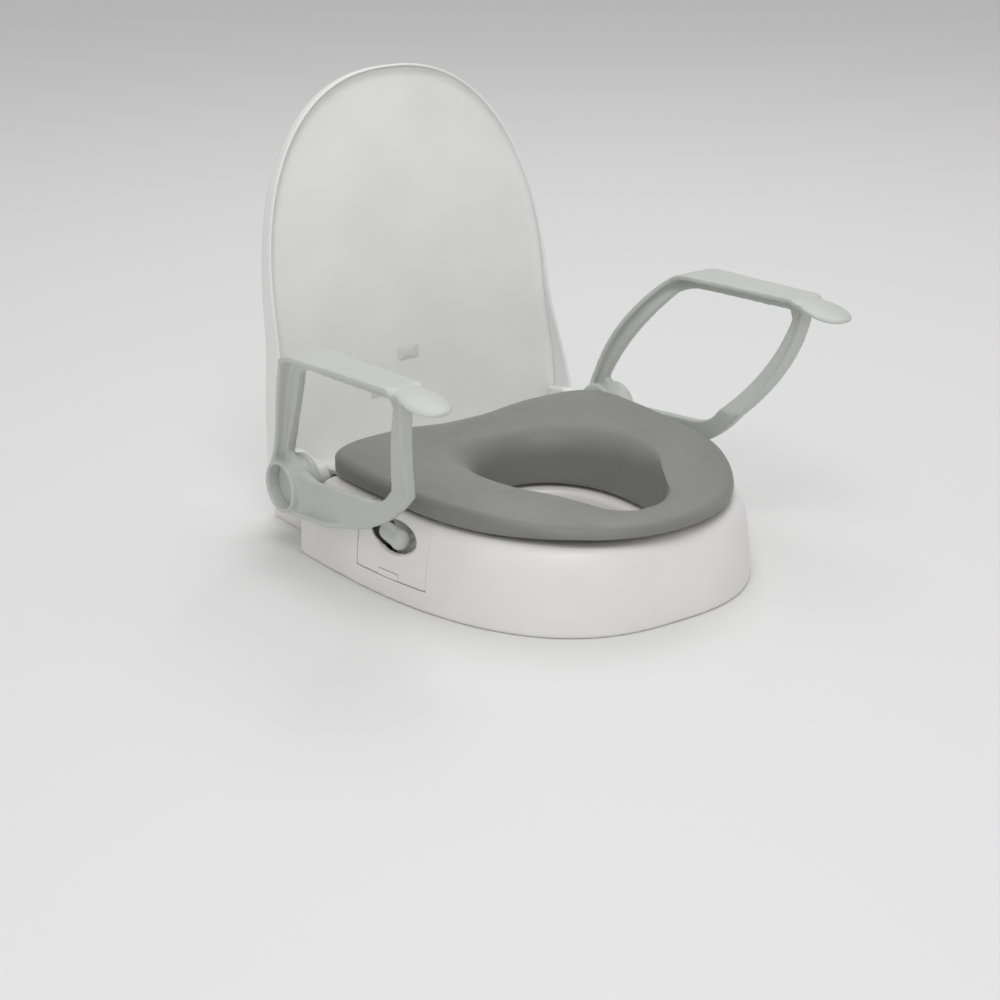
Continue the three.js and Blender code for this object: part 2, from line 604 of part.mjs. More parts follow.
/** The wedge that widens the blade into the barrel. */
function bladeRoot() {
  const section = (y, x0, x1, z0, z1) => [[x0, z0], [x1, z0], [x1, z1], [x0, z1]].map(([x, z]) => (
    new THREE.Vector3(x, y, z)));
  return solidOf(skin([section(-12, 195.6, 212, 51, 96), section(-46, 196, 204, 53, 86)], false));
}
function armFrame(side) {
  const web = armOuter();
  web.holes.push(armWindow());
  const edge = armOuter().getPoints(6);
  edge.pop();
  const turned = THREE.ShapeUtils.isClockWise(edge) ? edge.reverse() : edge;
  const band = new THREE.Shape(turned);
  band.holes.push(new THREE.Path(inset(turned, ARM.flangeThickness)));
  const flange = fadedFlange(plateX(band, ARM.flangeWidth));
  let solid = solidOf(leaned(plateX(web, ARM.web))).add(solidOf(leaned(flange)));
  solid = solid.subtract(block(150, ARM.bladeInner, -400, 100, 0, COLLAR_TOP + 2));
  solid = solid.add(armRestTop());
  const grip = new THREE.SphereGeometry(1, 18, 8).scale(26, 28, 8.5).rotateX(0.16);
  solid = solid.add(solidOf(moved(grip, 236, -303, 245.5)));
  solid = solid.add(bladeRoot());
  solid = solid.add(barX(ARM.inner, ARM.outer, ARM.barrelRadius));
  solid = solid.add(barX(ARM.discInner, ARM.inner + 1, ARM.discRadius));
  const inside = ARM.barrelRadius - ARM.barrelWall;
  solid = solid.subtract(barX(ARM.inner + HUB_WEB, ARM.outer + 20, inside));
  solid = solid.subtract(barX(150, ARM.outer, BUSH.outer + GAP));
  const geometry = geometryOf(solid);
  return side > 0 ? geometry : mirrored(geometry);
}

/** The cover that hides the axle screw at the bottom of the barrel's recess. */
function pivotCap(side) {
  const [x0, x1] = side > 0 ? [CAP.inner, CAP.outer] : [-CAP.outer, -CAP.inner];
  return geometryOf(barX(x0, x1, (ARM.barrelRadius - ARM.barrelWall - GAP) * Math.cos(Math.PI / 24)));
}

// ---- Arm catches ----
function armCatch(side) {
  const { x, y, z, radius, stem, stemInner } = CATCH;
  const ball = solidOf(moved(new THREE.SphereGeometry(radius, 16, 10), side * x, y, z));
  const shoulder = new THREE.SphereGeometry(1, 14, 8).scale(8, 15, 7).rotateX(-0.5);
  const knob = ball.add(solidOf(moved(shoulder, side * (x + 1), y + 10, z + 5)));
  const [a, b] = side > 0 ? [stemInner, x] : [-x, -stemInner];
  return geometryOf(knob.add(barX(a, b, stem, y, z, 16)));
}
/** The compression spring round a catch's stem. */
function catchSpring(side) {
  const { x, y, z } = CATCH;
  const [start, length, turns, coilRadius, wire] = [150.6, 14, 4, 5.9, 0.6];
  const points = [];
  const stepsPerTurn = 8;
  for (let i = 0; i <= turns * stepsPerTurn; i += 1) {
    const angle = (i / stepsPerTurn) * 2 * Math.PI;
    const along = start + (length * i) / (turns * stepsPerTurn);
    points.push(new THREE.Vector3(side * along, y + coilRadius * Math.cos(angle), z + coilRadius * Math.sin(angle)));
  }
  const section = new THREE.Shape();
  section.absarc(0, 0, wire, 0, 2 * Math.PI, false);
  const extrudePath = new THREE.CatmullRomCurve3(points);
  const options = { steps: turns * stepsPerTurn, extrudePath, bevelEnabled: false, curveSegments: 3 };
  return geometryOf(solidOf(new THREE.ExtrudeGeometry(section, options)));
}
const sideOf = { right: -1, left: 1 };

// ---- Assembly ----
const seat = new THREE.Group();
seat.position.y = PIVOT_Y;
function add(name, kind, geometry) {
  const mesh = new THREE.Mesh(geometry, finish(kind));
  mesh.name = name;
  seat.add(mesh);
}

add("collar", "shell", collar());
add("fixing_bracket", "steel", fixingBracket());
add("lid_shell", "lid", lidShell());
add("lid_inner_panel", "lid", lidPanel());
add("lid_label_upper", "label", lidLabel(-8, 96, 26, 14));
add("lid_label_lower", "label", lidLabel(-52, 66, 12, 22));
add("seat_cushion", "cushion", seatCushion());
add("seat_carrier", "tray", seatCarrier());
for (const [name, side] of Object.entries(sideOf)) {
  add(`side_panel_${name}`, "panel", sidePanel(side));
  add(`panel_release_tab_${name}`, "panel", panelTab(side));
  add(`bracket_screw_${name}`, "steel", bracketScrew(side));
  add(`arm_frame_${name}`, "arm", armFrame(side));
  add(`arm_bush_${name}`, "nylon", bush(side, ARM.discInner, ARM.inner + HUB_WEB));
  add(`lid_bush_${name}`, "nylon", bush(side, EAR.inner, EAR.outer));
  add(`pivot_axle_${name}`, "steel", axle(side));
  add(`axle_washer_${name}`, "steel", axleWasher(side));
  add(`axle_screw_${name}`, "steel", axleScrew(side));
  add(`pivot_cap_${name}`, "arm", pivotCap(side));
  add(`arm_catch_${name}`, "arm", armCatch(side));
  add(`catch_spring_${name}`, "steel", catchSpring(side));
  for (const [end, index] of [["rear", 0], ["front", 1]]) {
    const [padX, padY] = PAD_PLACES[index];
    add(`rim_pad_${end}_${name}`, "rubber", rimPad(side * padX, padY));
    const [pegX, pegY] = PEG_PLACES[index];
    add(`carrier_peg_${end}_${name}`, "tray", carrierPeg(side * pegX, pegY));
  }
}

export default seat;
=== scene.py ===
import json
import math

import bpy
import numpy as np
from mathutils import Matrix, Vector


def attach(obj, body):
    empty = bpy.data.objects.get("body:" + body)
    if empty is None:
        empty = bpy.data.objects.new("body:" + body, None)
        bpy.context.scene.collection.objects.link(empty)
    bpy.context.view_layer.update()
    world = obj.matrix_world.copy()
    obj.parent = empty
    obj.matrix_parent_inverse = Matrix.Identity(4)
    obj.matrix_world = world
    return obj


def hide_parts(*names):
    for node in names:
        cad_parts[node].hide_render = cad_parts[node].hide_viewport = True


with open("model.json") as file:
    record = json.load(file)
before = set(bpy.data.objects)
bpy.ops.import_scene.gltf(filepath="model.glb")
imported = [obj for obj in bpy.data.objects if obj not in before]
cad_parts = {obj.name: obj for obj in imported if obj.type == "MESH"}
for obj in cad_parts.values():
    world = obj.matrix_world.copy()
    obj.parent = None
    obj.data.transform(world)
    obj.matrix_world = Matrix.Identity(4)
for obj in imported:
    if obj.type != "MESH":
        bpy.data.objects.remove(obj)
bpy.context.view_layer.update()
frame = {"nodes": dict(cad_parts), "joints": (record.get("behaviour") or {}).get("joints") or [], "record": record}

# ---- Driving dimensions ----
# In millimetres. Y is counted from the arm pivot axis and Z from the collar's lower edge.
MM = 0.001
PIVOT = Vector(next(j["pos_m"] for j in frame["joints"] if j["name"] == "lid_hinge"))
PIVOT_Z = PIVOT.z / MM
SIDES = {"left": 1, "right": -1}
ROUND = 64  # sides of a turned part

COLLAR = dict(half_width=196.5, centre_y=-25.6, front=340.4, rear=38, front_power=2.63, rear_power=6)
CUSHION = dict(half_width=166.8, centre_y=-140.8, front=216.8, rear=130.8, front_power=2.05, rear_power=8,
               spread=0.07)
OPENING = dict(half_width=78, centre_y=-185, front=129, rear=99, front_power=2.2, rear_power=2.2)
OPENING_CENTRE = np.array([0.0, -190.0])
COLLAR_TOP = 84
COLLAR_WALL = 3.6
CUSHION_BASE = 86
WELL_FLOOR = 46

LID = dict(lean=math.radians(11), rim=43.1, apex=394.8, waist=147.5, half_width=171.4, foot=-8,
           foot_half_width=178, foot_corner=14, power=2.33, wall=3, depth=18, recess=8)
# Middle in X, middle along the lid, width and height
STICKERS = {"upper": (-8, 96, 26, 14), "lower": (-52, 66, 12, 22)}
EAR = dict(inner=164.5, outer=176.6, radius=17, reach=60, top=26)
ARM = dict(barrel=27, barrel_wall=4.5, inner=188, outer=216, disc=29.5, disc_inner=182.3, hub_web=6,
           web=9, flange_thickness=5.5, blade_inner=195, middle_low=200, middle_high=237.4, rail=243)
GRIP = dict(start=-252, y=-298, long=27, wide=21.5, neck=17.2, thick=7.8, top=252.4, bend=-262, droop=0.0024)
BUSH = dict(outer=9.6, inner=7.25)
CAP = dict(inner=200.7, outer=203.3)
AXLE = dict(radius=7, inner=142, outer=194)
PANEL = dict(front=-206, rear=-108, low=22)
TAB = dict(front=-170, rear=-141, height=6)
CATCH = dict(x=181, y=-166, z=62, radius=10, lug=(3.5, 23, 6))


# ---- Camera: the photograph's viewing angle ----
def make_camera():
    azimuth, elevation, roll = math.radians(-35.39), math.radians(20.75), math.radians(-0.41)
    back = Vector((math.sin(azimuth) * math.cos(elevation), -math.cos(azimuth) * math.cos(elevation),
                   math.sin(elevation)))
    right = Vector((math.cos(azimuth), math.sin(azimuth), 0))
    up = back.cross(right)
    turned_right = right * math.cos(roll) + up * math.sin(roll)
    turned_up = up * math.cos(roll) - right * math.sin(roll)
    data = bpy.data.cameras.new("camera")
    data.lens, data.sensor_width = 85.93, 36
    camera = bpy.data.objects.new("camera", data)
    axes = Matrix((turned_right, turned_up, back)).transposed()
    camera.matrix_world = Matrix.Translation((-1.3259, -1.8265, 0.9017)) @ axes.to_4x4()
    bpy.context.scene.collection.objects.link(camera)
    bpy.context.scene.camera = camera


make_camera()


# ---- Meshes ----
def in_frame(points):
    """Millimetres from the pivot to metres in the row's frame."""
    return np.asarray(points, float) * MM + np.array([0, PIVOT.y, 0])


def new_piece(name, points, faces):
    mesh = bpy.data.meshes.new(name)
    mesh.from_pydata(in_frame(points).tolist(), [], faces)
    mesh.update()
    piece = bpy.data.objects.new(name, mesh)
    bpy.context.scene.collection.objects.link(piece)
    return outward(piece)


def signed_volume(mesh):
    mesh.calc_loop_triangles()
    corners = np.empty(len(mesh.loop_triangles) * 3, np.int32)
    mesh.loop_triangles.foreach_get("vertices", corners)
    places = np.empty(len(mesh.vertices) * 3, np.float32)
    mesh.vertices.foreach_get("co", places)
    a, b, c = (places.reshape(-1, 3)[corners.reshape(-1, 3)[:, k]].astype(float) for k in range(3))
    return float((a * np.cross(b, c)).sum())


def outward(piece):
    if signed_volume(piece.data) < 0:
        piece.data.flip_normals()
    return piece


def smooth_shaded(piece, angle=None):
    piece.data.shade_smooth()
    if angle is not None:
        piece.data.set_sharp_from_angle(angle=math.radians(angle))
    return piece


def settle(piece):
    """Applies every modifier that the piece has."""
    evaluated = piece.evaluated_get(bpy.context.evaluated_depsgraph_get())
    mesh = bpy.data.meshes.new_from_object(evaluated)
    piece.modifiers.clear()
    spare, piece.data = piece.data, mesh
    bpy.data.meshes.remove(spare)
    return piece


def combined(piece, tool, operation):
    """Joins, cuts or meets a piece with a closed tool, which is used up."""
    modifier = piece.modifiers.new("combine", "BOOLEAN")
    modifier.operation, modifier.solver, modifier.object = operation, "EXACT", tool
    settle(piece)
    bpy.data.objects.remove(tool)
    return piece


def merged(name, pieces):
    """Puts several overlapping closed meshes in one object."""
    points, faces = [], []
    for piece in pieces:
        start = len(points)
        points += [v.co.copy() for v in piece.data.vertices]
        faces += [[start + i for i in p.vertices] for p in piece.data.polygons]
        bpy.data.objects.remove(piece)
    mesh = bpy.data.meshes.new(name)
    mesh.from_pydata(points, [], faces)
    mesh.update()
    whole = bpy.data.objects.new(name, mesh)
    bpy.context.scene.collection.objects.link(whole)
    return whole


def moulded(piece, voxel, rounds):
    """Fuses a piece into one even skin and rounds its edges, as on a moulding. Voxels are in millimetres."""
    fuse = piece.modifiers.new("fuse", "REMESH")
    fuse.mode, fuse.voxel_size, fuse.use_smooth_shade = "VOXEL", voxel * MM, True
    soften = piece.modifiers.new("soften", "SMOOTH")
    soften.factor, soften.iterations = 0.5, rounds
    return smooth_shaded(settle(piece))


def mirrored(piece, name):
    """A copy on the other side of X = 0."""
    twin = bpy.data.objects.new(name, piece.data.copy())
    twin.data.transform(Matrix.Scale(-1, 4, (1, 0, 0)))
    twin.data.flip_normals()
    bpy.context.scene.collection.objects.link(twin)
    return twin


def skin(name, rings, looped=False):
    """Quads between equal rings. An open stack is closed by a fan at each end."""
    rings = [np.asarray(ring, float) for ring in rings]
    count, rows = len(rings[0]), len(rings)
    points = np.concatenate(rings).tolist()
    faces = []
    for row in range(rows if looped else rows - 1):
        low, high = row * count, (row + 1) % rows * count
        faces += [(low + i, low + (i + 1) % count, high + (i + 1) % count, high + i) for i in range(count)]
    if not looped:
        for row, flip in ((0, True), (rows - 1, False)):
            hub = len(points)
            points.append(rings[row].mean(0).tolist())
            rim = [(row * count + i, row * count + (i + 1) % count) for i in range(count)]
            faces += [(hub, b, a) if flip else (hub, a, b) for a, b in rim]
    return new_piece(name, points, faces)


def block(name, low, high):
    x0, y0, z0 = low
    x1, y1, z1 = high
    ring = [(x0, y0), (x1, y0), (x1, y1), (x0, y1)]
    return prism(name, ring, z0, z1)


def prism(name, outline, z0, z1):
    """An outline in X and Y between two heights."""
    flat = np.asarray(outline, float)
    return skin(name, [level(flat, z0), level(flat, z1)])


def level(ring, z):
    return np.column_stack([ring, np.full(len(ring), float(z))])


def turned(name, profile, y=0.0, z=None, axis="X"):
    """Spins a closed profile of (place along the axis, radius) pairs."""
    z = PIVOT_Z if z is None else z
    angles = np.arange(ROUND) / ROUND * 2 * math.pi
    rings = []
    for along, radius in profile:
        across, up = radius * np.cos(angles), radius * np.sin(angles)
        place = np.full(ROUND, float(along))
        columns = [place, y + across, z + up] if axis == "X" else [across, y + up, place]
        rings.append(np.column_stack(columns))
    return skin(name, rings, looped=True)


def rod(name, x0, x1, radius, y=0.0, z=None):
    z = PIVOT_Z if z is None else z
    angles = np.arange(ROUND) / ROUND * 2 * math.pi
    circle = np.column_stack([y + radius * np.cos(angles), z + radius * np.sin(angles)])
    return skin(name, [np.column_stack([np.full(ROUND, float(x)), circle]) for x in (x0, x1)])


def ball(name, centre, radii, tilt=0.0, rows=40):
    """An ellipsoid, tilted about X."""
    rings = []
    for k in range(1, rows):
        polar = math.pi * k / rows
        angles = np.arange(ROUND) / ROUND * 2 * math.pi
        x = np.cos(angles) * math.sin(polar) * radii[0]
        y = np.sin(angles) * math.sin(polar) * radii[1]
        z = np.full(ROUND, math.cos(polar) * radii[2])
        turned_y = y * math.cos(tilt) - z * math.sin(tilt)
        turned_z = y * math.sin(tilt) + z * math.cos(tilt)
        rings.append(np.column_stack([x + centre[0], turned_y + centre[1], turned_z + centre[2]]))
    return skin(name, rings)


# ---- Outlines ----
def ease(value, low, high):
    """0 below low, 1 above high and smooth between."""
    share = np.clip((np.asarray(value, float) - low) / (high - low), 0, 1)
    return share * share * (3 - 2 * share)


def mix(a, b, share):
    return np.asarray(a, float) * (1 - share) + np.asarray(b, float) * share


def egg(shape, shrink=0.0, steps=2880):
    """A front and a rear half superellipse that share their widest line."""
    angles = np.arange(steps) / steps * 2 * math.pi
    c, s = np.cos(angles), np.sin(angles)
    power = np.where(s < 0, shape["front_power"], shape["rear_power"])
    reach = np.where(s < 0, shrink - shape["front"], shape["rear"] - shrink)
    dy = reach * np.abs(s) ** (2 / power)
    width = shape["half_width"] - shrink + shape.get("spread", 0) * np.maximum(dy, 0)
    return np.column_stack([np.sign(c) * width * np.abs(c) ** (2 / power), shape["centre_y"] + dy])


def by_angle(points, centre, count):
    """Resamples an outline at equal angles about a centre, so that nested outlines match point to point."""
    offset = points[:, :2] - centre
    polar = np.arctan2(offset[:, 1], offset[:, 0])
    order = np.argsort(polar)
    wanted = -math.pi + (np.arange(count) + 0.5) / count * 2 * math.pi
    columns = [np.interp(wanted, polar[order], column[order], period=2 * math.pi) for column in points.T]
    return np.column_stack(columns)


def inset(ring, distance):
    along = np.roll(ring, -1, 0) - np.roll(ring, 1, 0)
    along /= np.linalg.norm(along, axis=1)[:, None]
    return ring + np.column_stack([-along[:, 1], along[:, 0]]) * distance


def curve(start, *parts, steps=24):
    """An outline from straight parts (one point), quadratic parts (two) and cubic parts (three)."""
    points = [np.array(start, float)]
    for part in parts:
        hull = [points[-1]] + [np.array(p, float) for p in part]
        degree = len(hull) - 1
        for k in range(1, steps + 1):
            t = k / steps
            weights = [math.comb(degree, i) * t ** i * (1 - t) ** (degree - i) for i in range(degree + 1)]
            points.append(sum(w * p for w, p in zip(weights, hull)))
    return np.array(points)


def evenly(points, count, closed=True):
    """Resamples a path at equal steps along its length."""
    path = np.vstack([points, points[:1]]) if closed else points
    steps = np.linalg.norm(np.diff(path, axis=0), axis=1)
    along = np.concatenate([[0], np.cumsum(steps)])
    wanted = np.linspace(0, along[-1], count, endpoint=not closed)
    return np.column_stack([np.interp(wanted, along, path[:, k]) for k in range(path.shape[1])])


def flowing(points, per_span=6):
    """A smooth open curve through a few profile points."""
    knots = np.asarray(points, float)
    padded = np.vstack([2 * knots[0] - knots[1], knots, 2 * knots[-1] - knots[-2]])
    found = [knots[0]]
    for i in range(len(knots) - 1):
        p0, p1, p2, p3 = padded[i:i + 4]
        for k in range(1, per_span + 1):
            t = k / per_span
            found.append(0.5 * (2 * p1 + (p2 - p0) * t + (2 * p0 - 5 * p1 + 4 * p2 - p3) * t ** 2
                                + (3 * p1 - p0 - 3 * p2 + p3) * t ** 3))
    return np.array(found)


AROUND = 360  # points round the seat's own rings


def collar_ring(distance, z):
    return level(by_angle(egg(COLLAR, distance), OPENING_CENTRE, AROUND), z)


def cushion_plan(distance):
    return by_angle(egg(CUSHION, distance), OPENING_CENTRE, AROUND)


def opening_plan(distance):
    return by_angle(egg(OPENING, -distance), OPENING_CENTRE, AROUND)


# ---- Materials ----
def shader(name, base, roughness, metallic=0.0):
    material = bpy.data.materials.new(name)
    material.use_nodes = True
    nodes, links = material.node_tree.nodes, material.node_tree.links
    principled = nodes["Principled BSDF"]
    principled.inputs["Base Color"].default_value = (*base, 1)
    principled.inputs["Roughness"].default_value = roughness
    principled.inputs["Metallic"].default_value = metallic
    where = nodes.new("ShaderNodeTexCoord").outputs["Object"]
    return material, nodes, links, principled, where


def noise(nodes, links, where, size, detail=3.0, stretch=None):
    """Noise whose features are about this size, in millimetres."""
    if stretch is not None:
        mapping = nodes.new("ShaderNodeMapping")
        mapping.inputs["Scale"].default_value = stretch
        links.new(where, mapping.inputs["Vector"])
        where = mapping.outputs["Vector"]
    node = nodes.new("ShaderNodeTexNoise")
    node.inputs["Scale"].default_value = 1 / (size * MM)
    node.inputs["Detail"].default_value = detail
    links.new(where, node.inputs["Vector"])
    return node.outputs["Fac"]


def ranged(nodes, links, value, low, high, start=0.3, stop=0.7):
    node = nodes.new("ShaderNodeMapRange")
    for key, amount in (("From Min", start), ("From Max", stop), ("To Min", low), ("To Max", high)):
        node.inputs[key].default_value = amount
    links.new(value, node.inputs["Value"])
    return node.outputs["Result"]


def blended(nodes, links, share, a, b):
    node = nodes.new("ShaderNodeMix")
    node.data_type = "RGBA"
    links.new(share, node.inputs["Factor"])
    for key, colour in (("A", a), ("B", b)):
        socket = [s for s in node.inputs if s.name == key and s.type == "RGBA"][0]
        if isinstance(colour, bpy.types.NodeSocket):
            links.new(colour, socket)
        else:
            socket.default_value = (*colour, 1)
    return [s for s in node.outputs if s.type == "RGBA"][0]


def bumped(nodes, links, principled, heights):
    """Adds bumps of (height source, depth in millimetres, strength) one after the other."""
    before = None
    for source, depth, strength in heights:
        node = nodes.new("ShaderNodeBump")
        node.inputs["Distance"].default_value = depth * MM
        node.inputs["Strength"].default_value = strength
        links.new(source, node.inputs["Height"])
        if before is not None:
            links.new(before, node.inputs["Normal"])
        before = node.outputs["Normal"]
    links.new(before, principled.inputs["Normal"])


def shaded(colour, factor):
    return tuple(c * factor for c in colour)


def moulded_plastic(name, base, roughness, grain, scuffs):
    """Injection-moulded plastic: a slight tone drift, a fine texture, rubbed edges and hairline scuffs."""
    material, nodes, links, principled, where = shader(name, base, roughness)
    drift = ranged(nodes, links, noise(nodes, links, where, 70), 0, 1)
    tone = blended(nodes, links, drift, shaded(base, 0.965), shaded(base, 1.02))
    edges = ranged(nodes, links, nodes.new("ShaderNodeNewGeometry").outputs["Pointiness"], 0, 0.5, 0.52, 0.62)
    links.new(blended(nodes, links, edges, tone, shaded(base, 1.06)), principled.inputs["Base Color"])
    scratch = noise(nodes, links, where, 9, 6.0, (1.0, 0.12, 1.0))
    cloud = ranged(nodes, links, noise(nodes, links, where, 35, 4.0), roughness - 0.05, roughness + 0.05)
    worn = nodes.new("ShaderNodeMath")
    worn.operation = "ADD"
    links.new(cloud, worn.inputs[0])
    links.new(ranged(nodes, links, scratch, 0, scuffs, 0.62, 0.8), worn.inputs[1])
    links.new(worn.outputs[0], principled.inputs["Roughness"])
    texture = noise(nodes, links, where, grain, 2.0)
    bumped(nodes, links, principled, [(noise(nodes, links, where, 26), 0.25, 0.25), (texture, 0.05, 0.35)])
    principled.inputs["Specular IOR Level"].default_value = 0.5
    return material


def foam_skin(name, base, roughness):
    """The skin of moulded foam: leathery pores, a soft sheen and a slight mottle."""
    material, nodes, links, principled, where = shader(name, base, roughness)
    mottle = ranged(nodes, links, noise(nodes, links, where, 18, 5.0), 0, 1)
    broad = ranged(nodes, links, noise(nodes, links, where, 90, 2.0), 0, 1)
    near = blended(nodes, links, mottle, shaded(base, 0.95), shaded(base, 1.04))
    links.new(blended(nodes, links, broad, near, shaded(base, 1.07)), principled.inputs["Base Color"])
    sheen = ranged(nodes, links, noise(nodes, links, where, 12, 4.0), roughness - 0.06, roughness + 0.07)
    links.new(sheen, principled.inputs["Roughness"])
    pores = nodes.new("ShaderNodeTexVoronoi")
    pores.inputs["Scale"].default_value = 1 / (1.1 * MM)
    links.new(where, pores.inputs["Vector"])
    grain = noise(nodes, links, where, 2.4, 4.0)
    bumped(nodes, links, principled, [(grain, 0.12, 0.35), (pores.outputs["Distance"], 0.07, 0.3)])
    principled.inputs["Sheen Weight"].default_value = 0.12
    principled.inputs["Sheen Roughness"].default_value = 0.5
    return material


def plated_steel(name, base, roughness):
    """Zinc-plated steel: faint turning lines, blotches of dull plating and brighter edges."""
    material, nodes, links, principled, where = shader(name, base, roughness, 1.0)
    blotch = ranged(nodes, links, noise(nodes, links, where, 7, 5.0), 0, 1)
    tone = blended(nodes, links, blotch, shaded(base, 0.86), base)
    edges = ranged(nodes, links, nodes.new("ShaderNodeNewGeometry").outputs["Pointiness"], 0, 1, 0.52, 0.6)
    links.new(blended(nodes, links, edges, tone, shaded(base, 1.2)), principled.inputs["Base Color"])
    lines = noise(nodes, links, where, 0.6, 2.0, (3.0, 0.3, 0.3))
    links.new(ranged(nodes, links, lines, roughness - 0.08, roughness + 0.12), principled.inputs["Roughness"])
    bumped(nodes, links, principled, [(lines, 0.02, 0.3)])
    return material


def soft_rubber(name, base, roughness):
    """Matt rubber with a pebbled face and pale dust."""
    material, nodes, links, principled, where = shader(name, base, roughness)
    dust = ranged(nodes, links, noise(nodes, links, where, 5, 6.0), 0, 0.35, 0.5, 0.75)
    links.new(blended(nodes, links, dust, base, (0.16, 0.155, 0.145)), principled.inputs["Base Color"])
    bumped(nodes, links, principled, [(noise(nodes, links, where, 0.9, 3.0), 0.12, 0.5)])
    return material


def sticker_paper(name, base, roughness):
    """A blank laminated sticker, with fine paper fibres."""
    material, nodes, links, principled, where = shader(name, base, roughness)
    fibres = ranged(nodes, links, noise(nodes, links, where, 1.6, 5.0), 0, 1)
    tone = blended(nodes, links, fibres, shaded(base, 0.95), shaded(base, 1.03))
    links.new(tone, principled.inputs["Base Color"])
    bumped(nodes, links, principled, [(noise(nodes, links, where, 1.2, 3.0), 0.02, 0.3)])
    return material


MATERIALS = {
    "collar_white": moulded_plastic("collar_white", (0.82, 0.81, 0.79), 0.34, 0.9, 0.14),
    "lid_white": moulded_plastic("lid_white", (0.85, 0.85, 0.84), 0.36, 0.8, 0.1),
    "arm_grey": moulded_plastic("arm_grey", (0.55, 0.57, 0.53), 0.42, 0.7, 0.16),
    "cushion_grey": foam_skin("cushion_grey", (0.2, 0.202, 0.183), 0.5),
    "carrier_grey": moulded_plastic("carrier_grey", (0.16, 0.16, 0.15), 0.5, 0.9, 0.1),
    "nylon_natural": moulded_plastic("nylon_natural", (0.76, 0.73, 0.64), 0.45, 0.8, 0.1),
    "zinc_steel": plated_steel("zinc_steel", (0.62, 0.63, 0.64), 0.32),
    "pad_rubber": soft_rubber("pad_rubber", (0.035, 0.035, 0.035), 0.75),
    "label_pale": sticker_paper("label_pale", (0.72, 0.72, 0.7), 0.5),
}


def finished(piece, body, slot, *nodes):
    """Gives a piece its body, its material slot and the CAD nodes that it stands for."""
    piece.data.materials.clear()
    piece.data.materials.append(MATERIALS[slot])
    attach(piece, body)
    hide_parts(*nodes)
    return piece


# ---- Collar and side panels ----
def skirt():
    """The moulded wall all round: lip, skirt, shoulder, seat ledge, well and drip edge."""
    wall = COLLAR_WALL
    outside = flowing([(2.2, 0), (0.7, 0.5), (0, 2.2), (0.1, 5), (0.8, 22), (2.6, 45), (5.5, 64), (10, 75.5),
                       (16.5, 82), (26, COLLAR_TOP)])
    rings = [collar_ring(distance, z) for distance, z in outside]
    well = [(23, COLLAR_TOP), (21, COLLAR_TOP - 2), (18.5, WELL_FLOOR + 3), (15, WELL_FLOOR),
            (-4, WELL_FLOOR - 1.5), (-6.5, WELL_FLOOR - 5), (-7, 15), (-5, 13.6), (wall - 7, 15),
            (-2, WELL_FLOOR - 2 - wall),
            (18 + wall, WELL_FLOOR - wall), (21 + wall, COLLAR_TOP - wall)]
    rings += [level(opening_plan(distance), z) for distance, z in well]
    underside = [(25, COLLAR_TOP - wall), (13 + wall, 76), (5 + wall, 58), (0.8 + wall, 22),
                 (0.8 + wall, 1.5), (4.2, 0)]
    rings += [collar_ring(distance, z) for distance, z in underside]
    return skin("skirt", rings, looped=True)


def rounded_plan(x0, x1, y0, y1, radius):
    """A rectangle with round corners at its rear."""
    turn = np.linspace(0, math.pi / 2, 9)
    right = [(x1 - radius + radius * math.cos(a), y1 - radius + radius * math.sin(a)) for a in turn]
    left = [(x0 + radius - radius * math.sin(a), y1 - radius + radius * math.cos(a)) for a in turn]
    return np.array([(x0, y0), (x1, y0)] + right + left)


def rear_block():
    """The low block behind the skirt, open underneath, with a ledge groove along its sides and back."""
    half, front, back, height, wall = 165, -4, 106, 42, 4
    solid = prism("rear_block", rounded_plan(-half, half, front, back, 10), 0, height)
    hollow = block("hollow", (wall - half, front - 1, -1), (half - wall, back - wall, height - wall))
    groove_low, groove_high, groove_depth = 31, 33.2, 2.2
    groove = combined(
        prism("groove", rounded_plan(-half - 5, half + 5, 16, back + 5, 10), groove_low, groove_high),
        prism("core", rounded_plan(groove_depth - half, half - groove_depth, front, back - groove_depth, 9),
              groove_low - 1, groove_high + 1),
        "DIFFERENCE")
    return combined(combined(solid, hollow, "DIFFERENCE"), groove, "DIFFERENCE")


def towers():
    """The posts that hold the axles."""
    found = []
    for side in (-1, 1):
        x0, x1 = sorted((side * 142, side * 160))
        found.append(block("leg", (x0, -11.5, 36), (x1, 11.5, PIVOT_Z)))
        found.append(rod("head", x0, x1, 11.5))
    return found


def pad_posts():
    """The posts over the rim pads."""
    return [block("post", (side * x - 7, y - 15, 14.35), (side * x + 7, y + 15, COLLAR_TOP - 2))
            for side in (-1, 1) for x, y in ((128, -62), (112, -262))]


def whole_collar():
    """The collar before its side panels are cut out of it."""
    bosses = [rod_up("boss", side * 42, 62, 6.55, 41, 7) for side in (-1, 1)]
    solid = merged("collar_moulding", [skirt(), rear_block(), *towers(), *pad_posts(), *bosses])
    solid = moulded(solid, 2.0, 4)
    for side in (-1, 1):
        x0, x1 = sorted((side * 160.6, side * 260))
        solid = combined(solid, rod("relief", x0, x1, 33), "DIFFERENCE")
        x0, x1 = sorted((side * 130, side * 200))
        solid = combined(solid, rod("bore", x0, x1, 7.35), "DIFFERENCE")
    return solid


def rod_up(name, x, y, z0, z1, radius):
    angles = np.arange(ROUND) / ROUND * 2 * math.pi
    ring = np.column_stack([x + radius * np.cos(angles), y + radius * np.sin(angles)])
    return prism(name, ring, z0, z1)


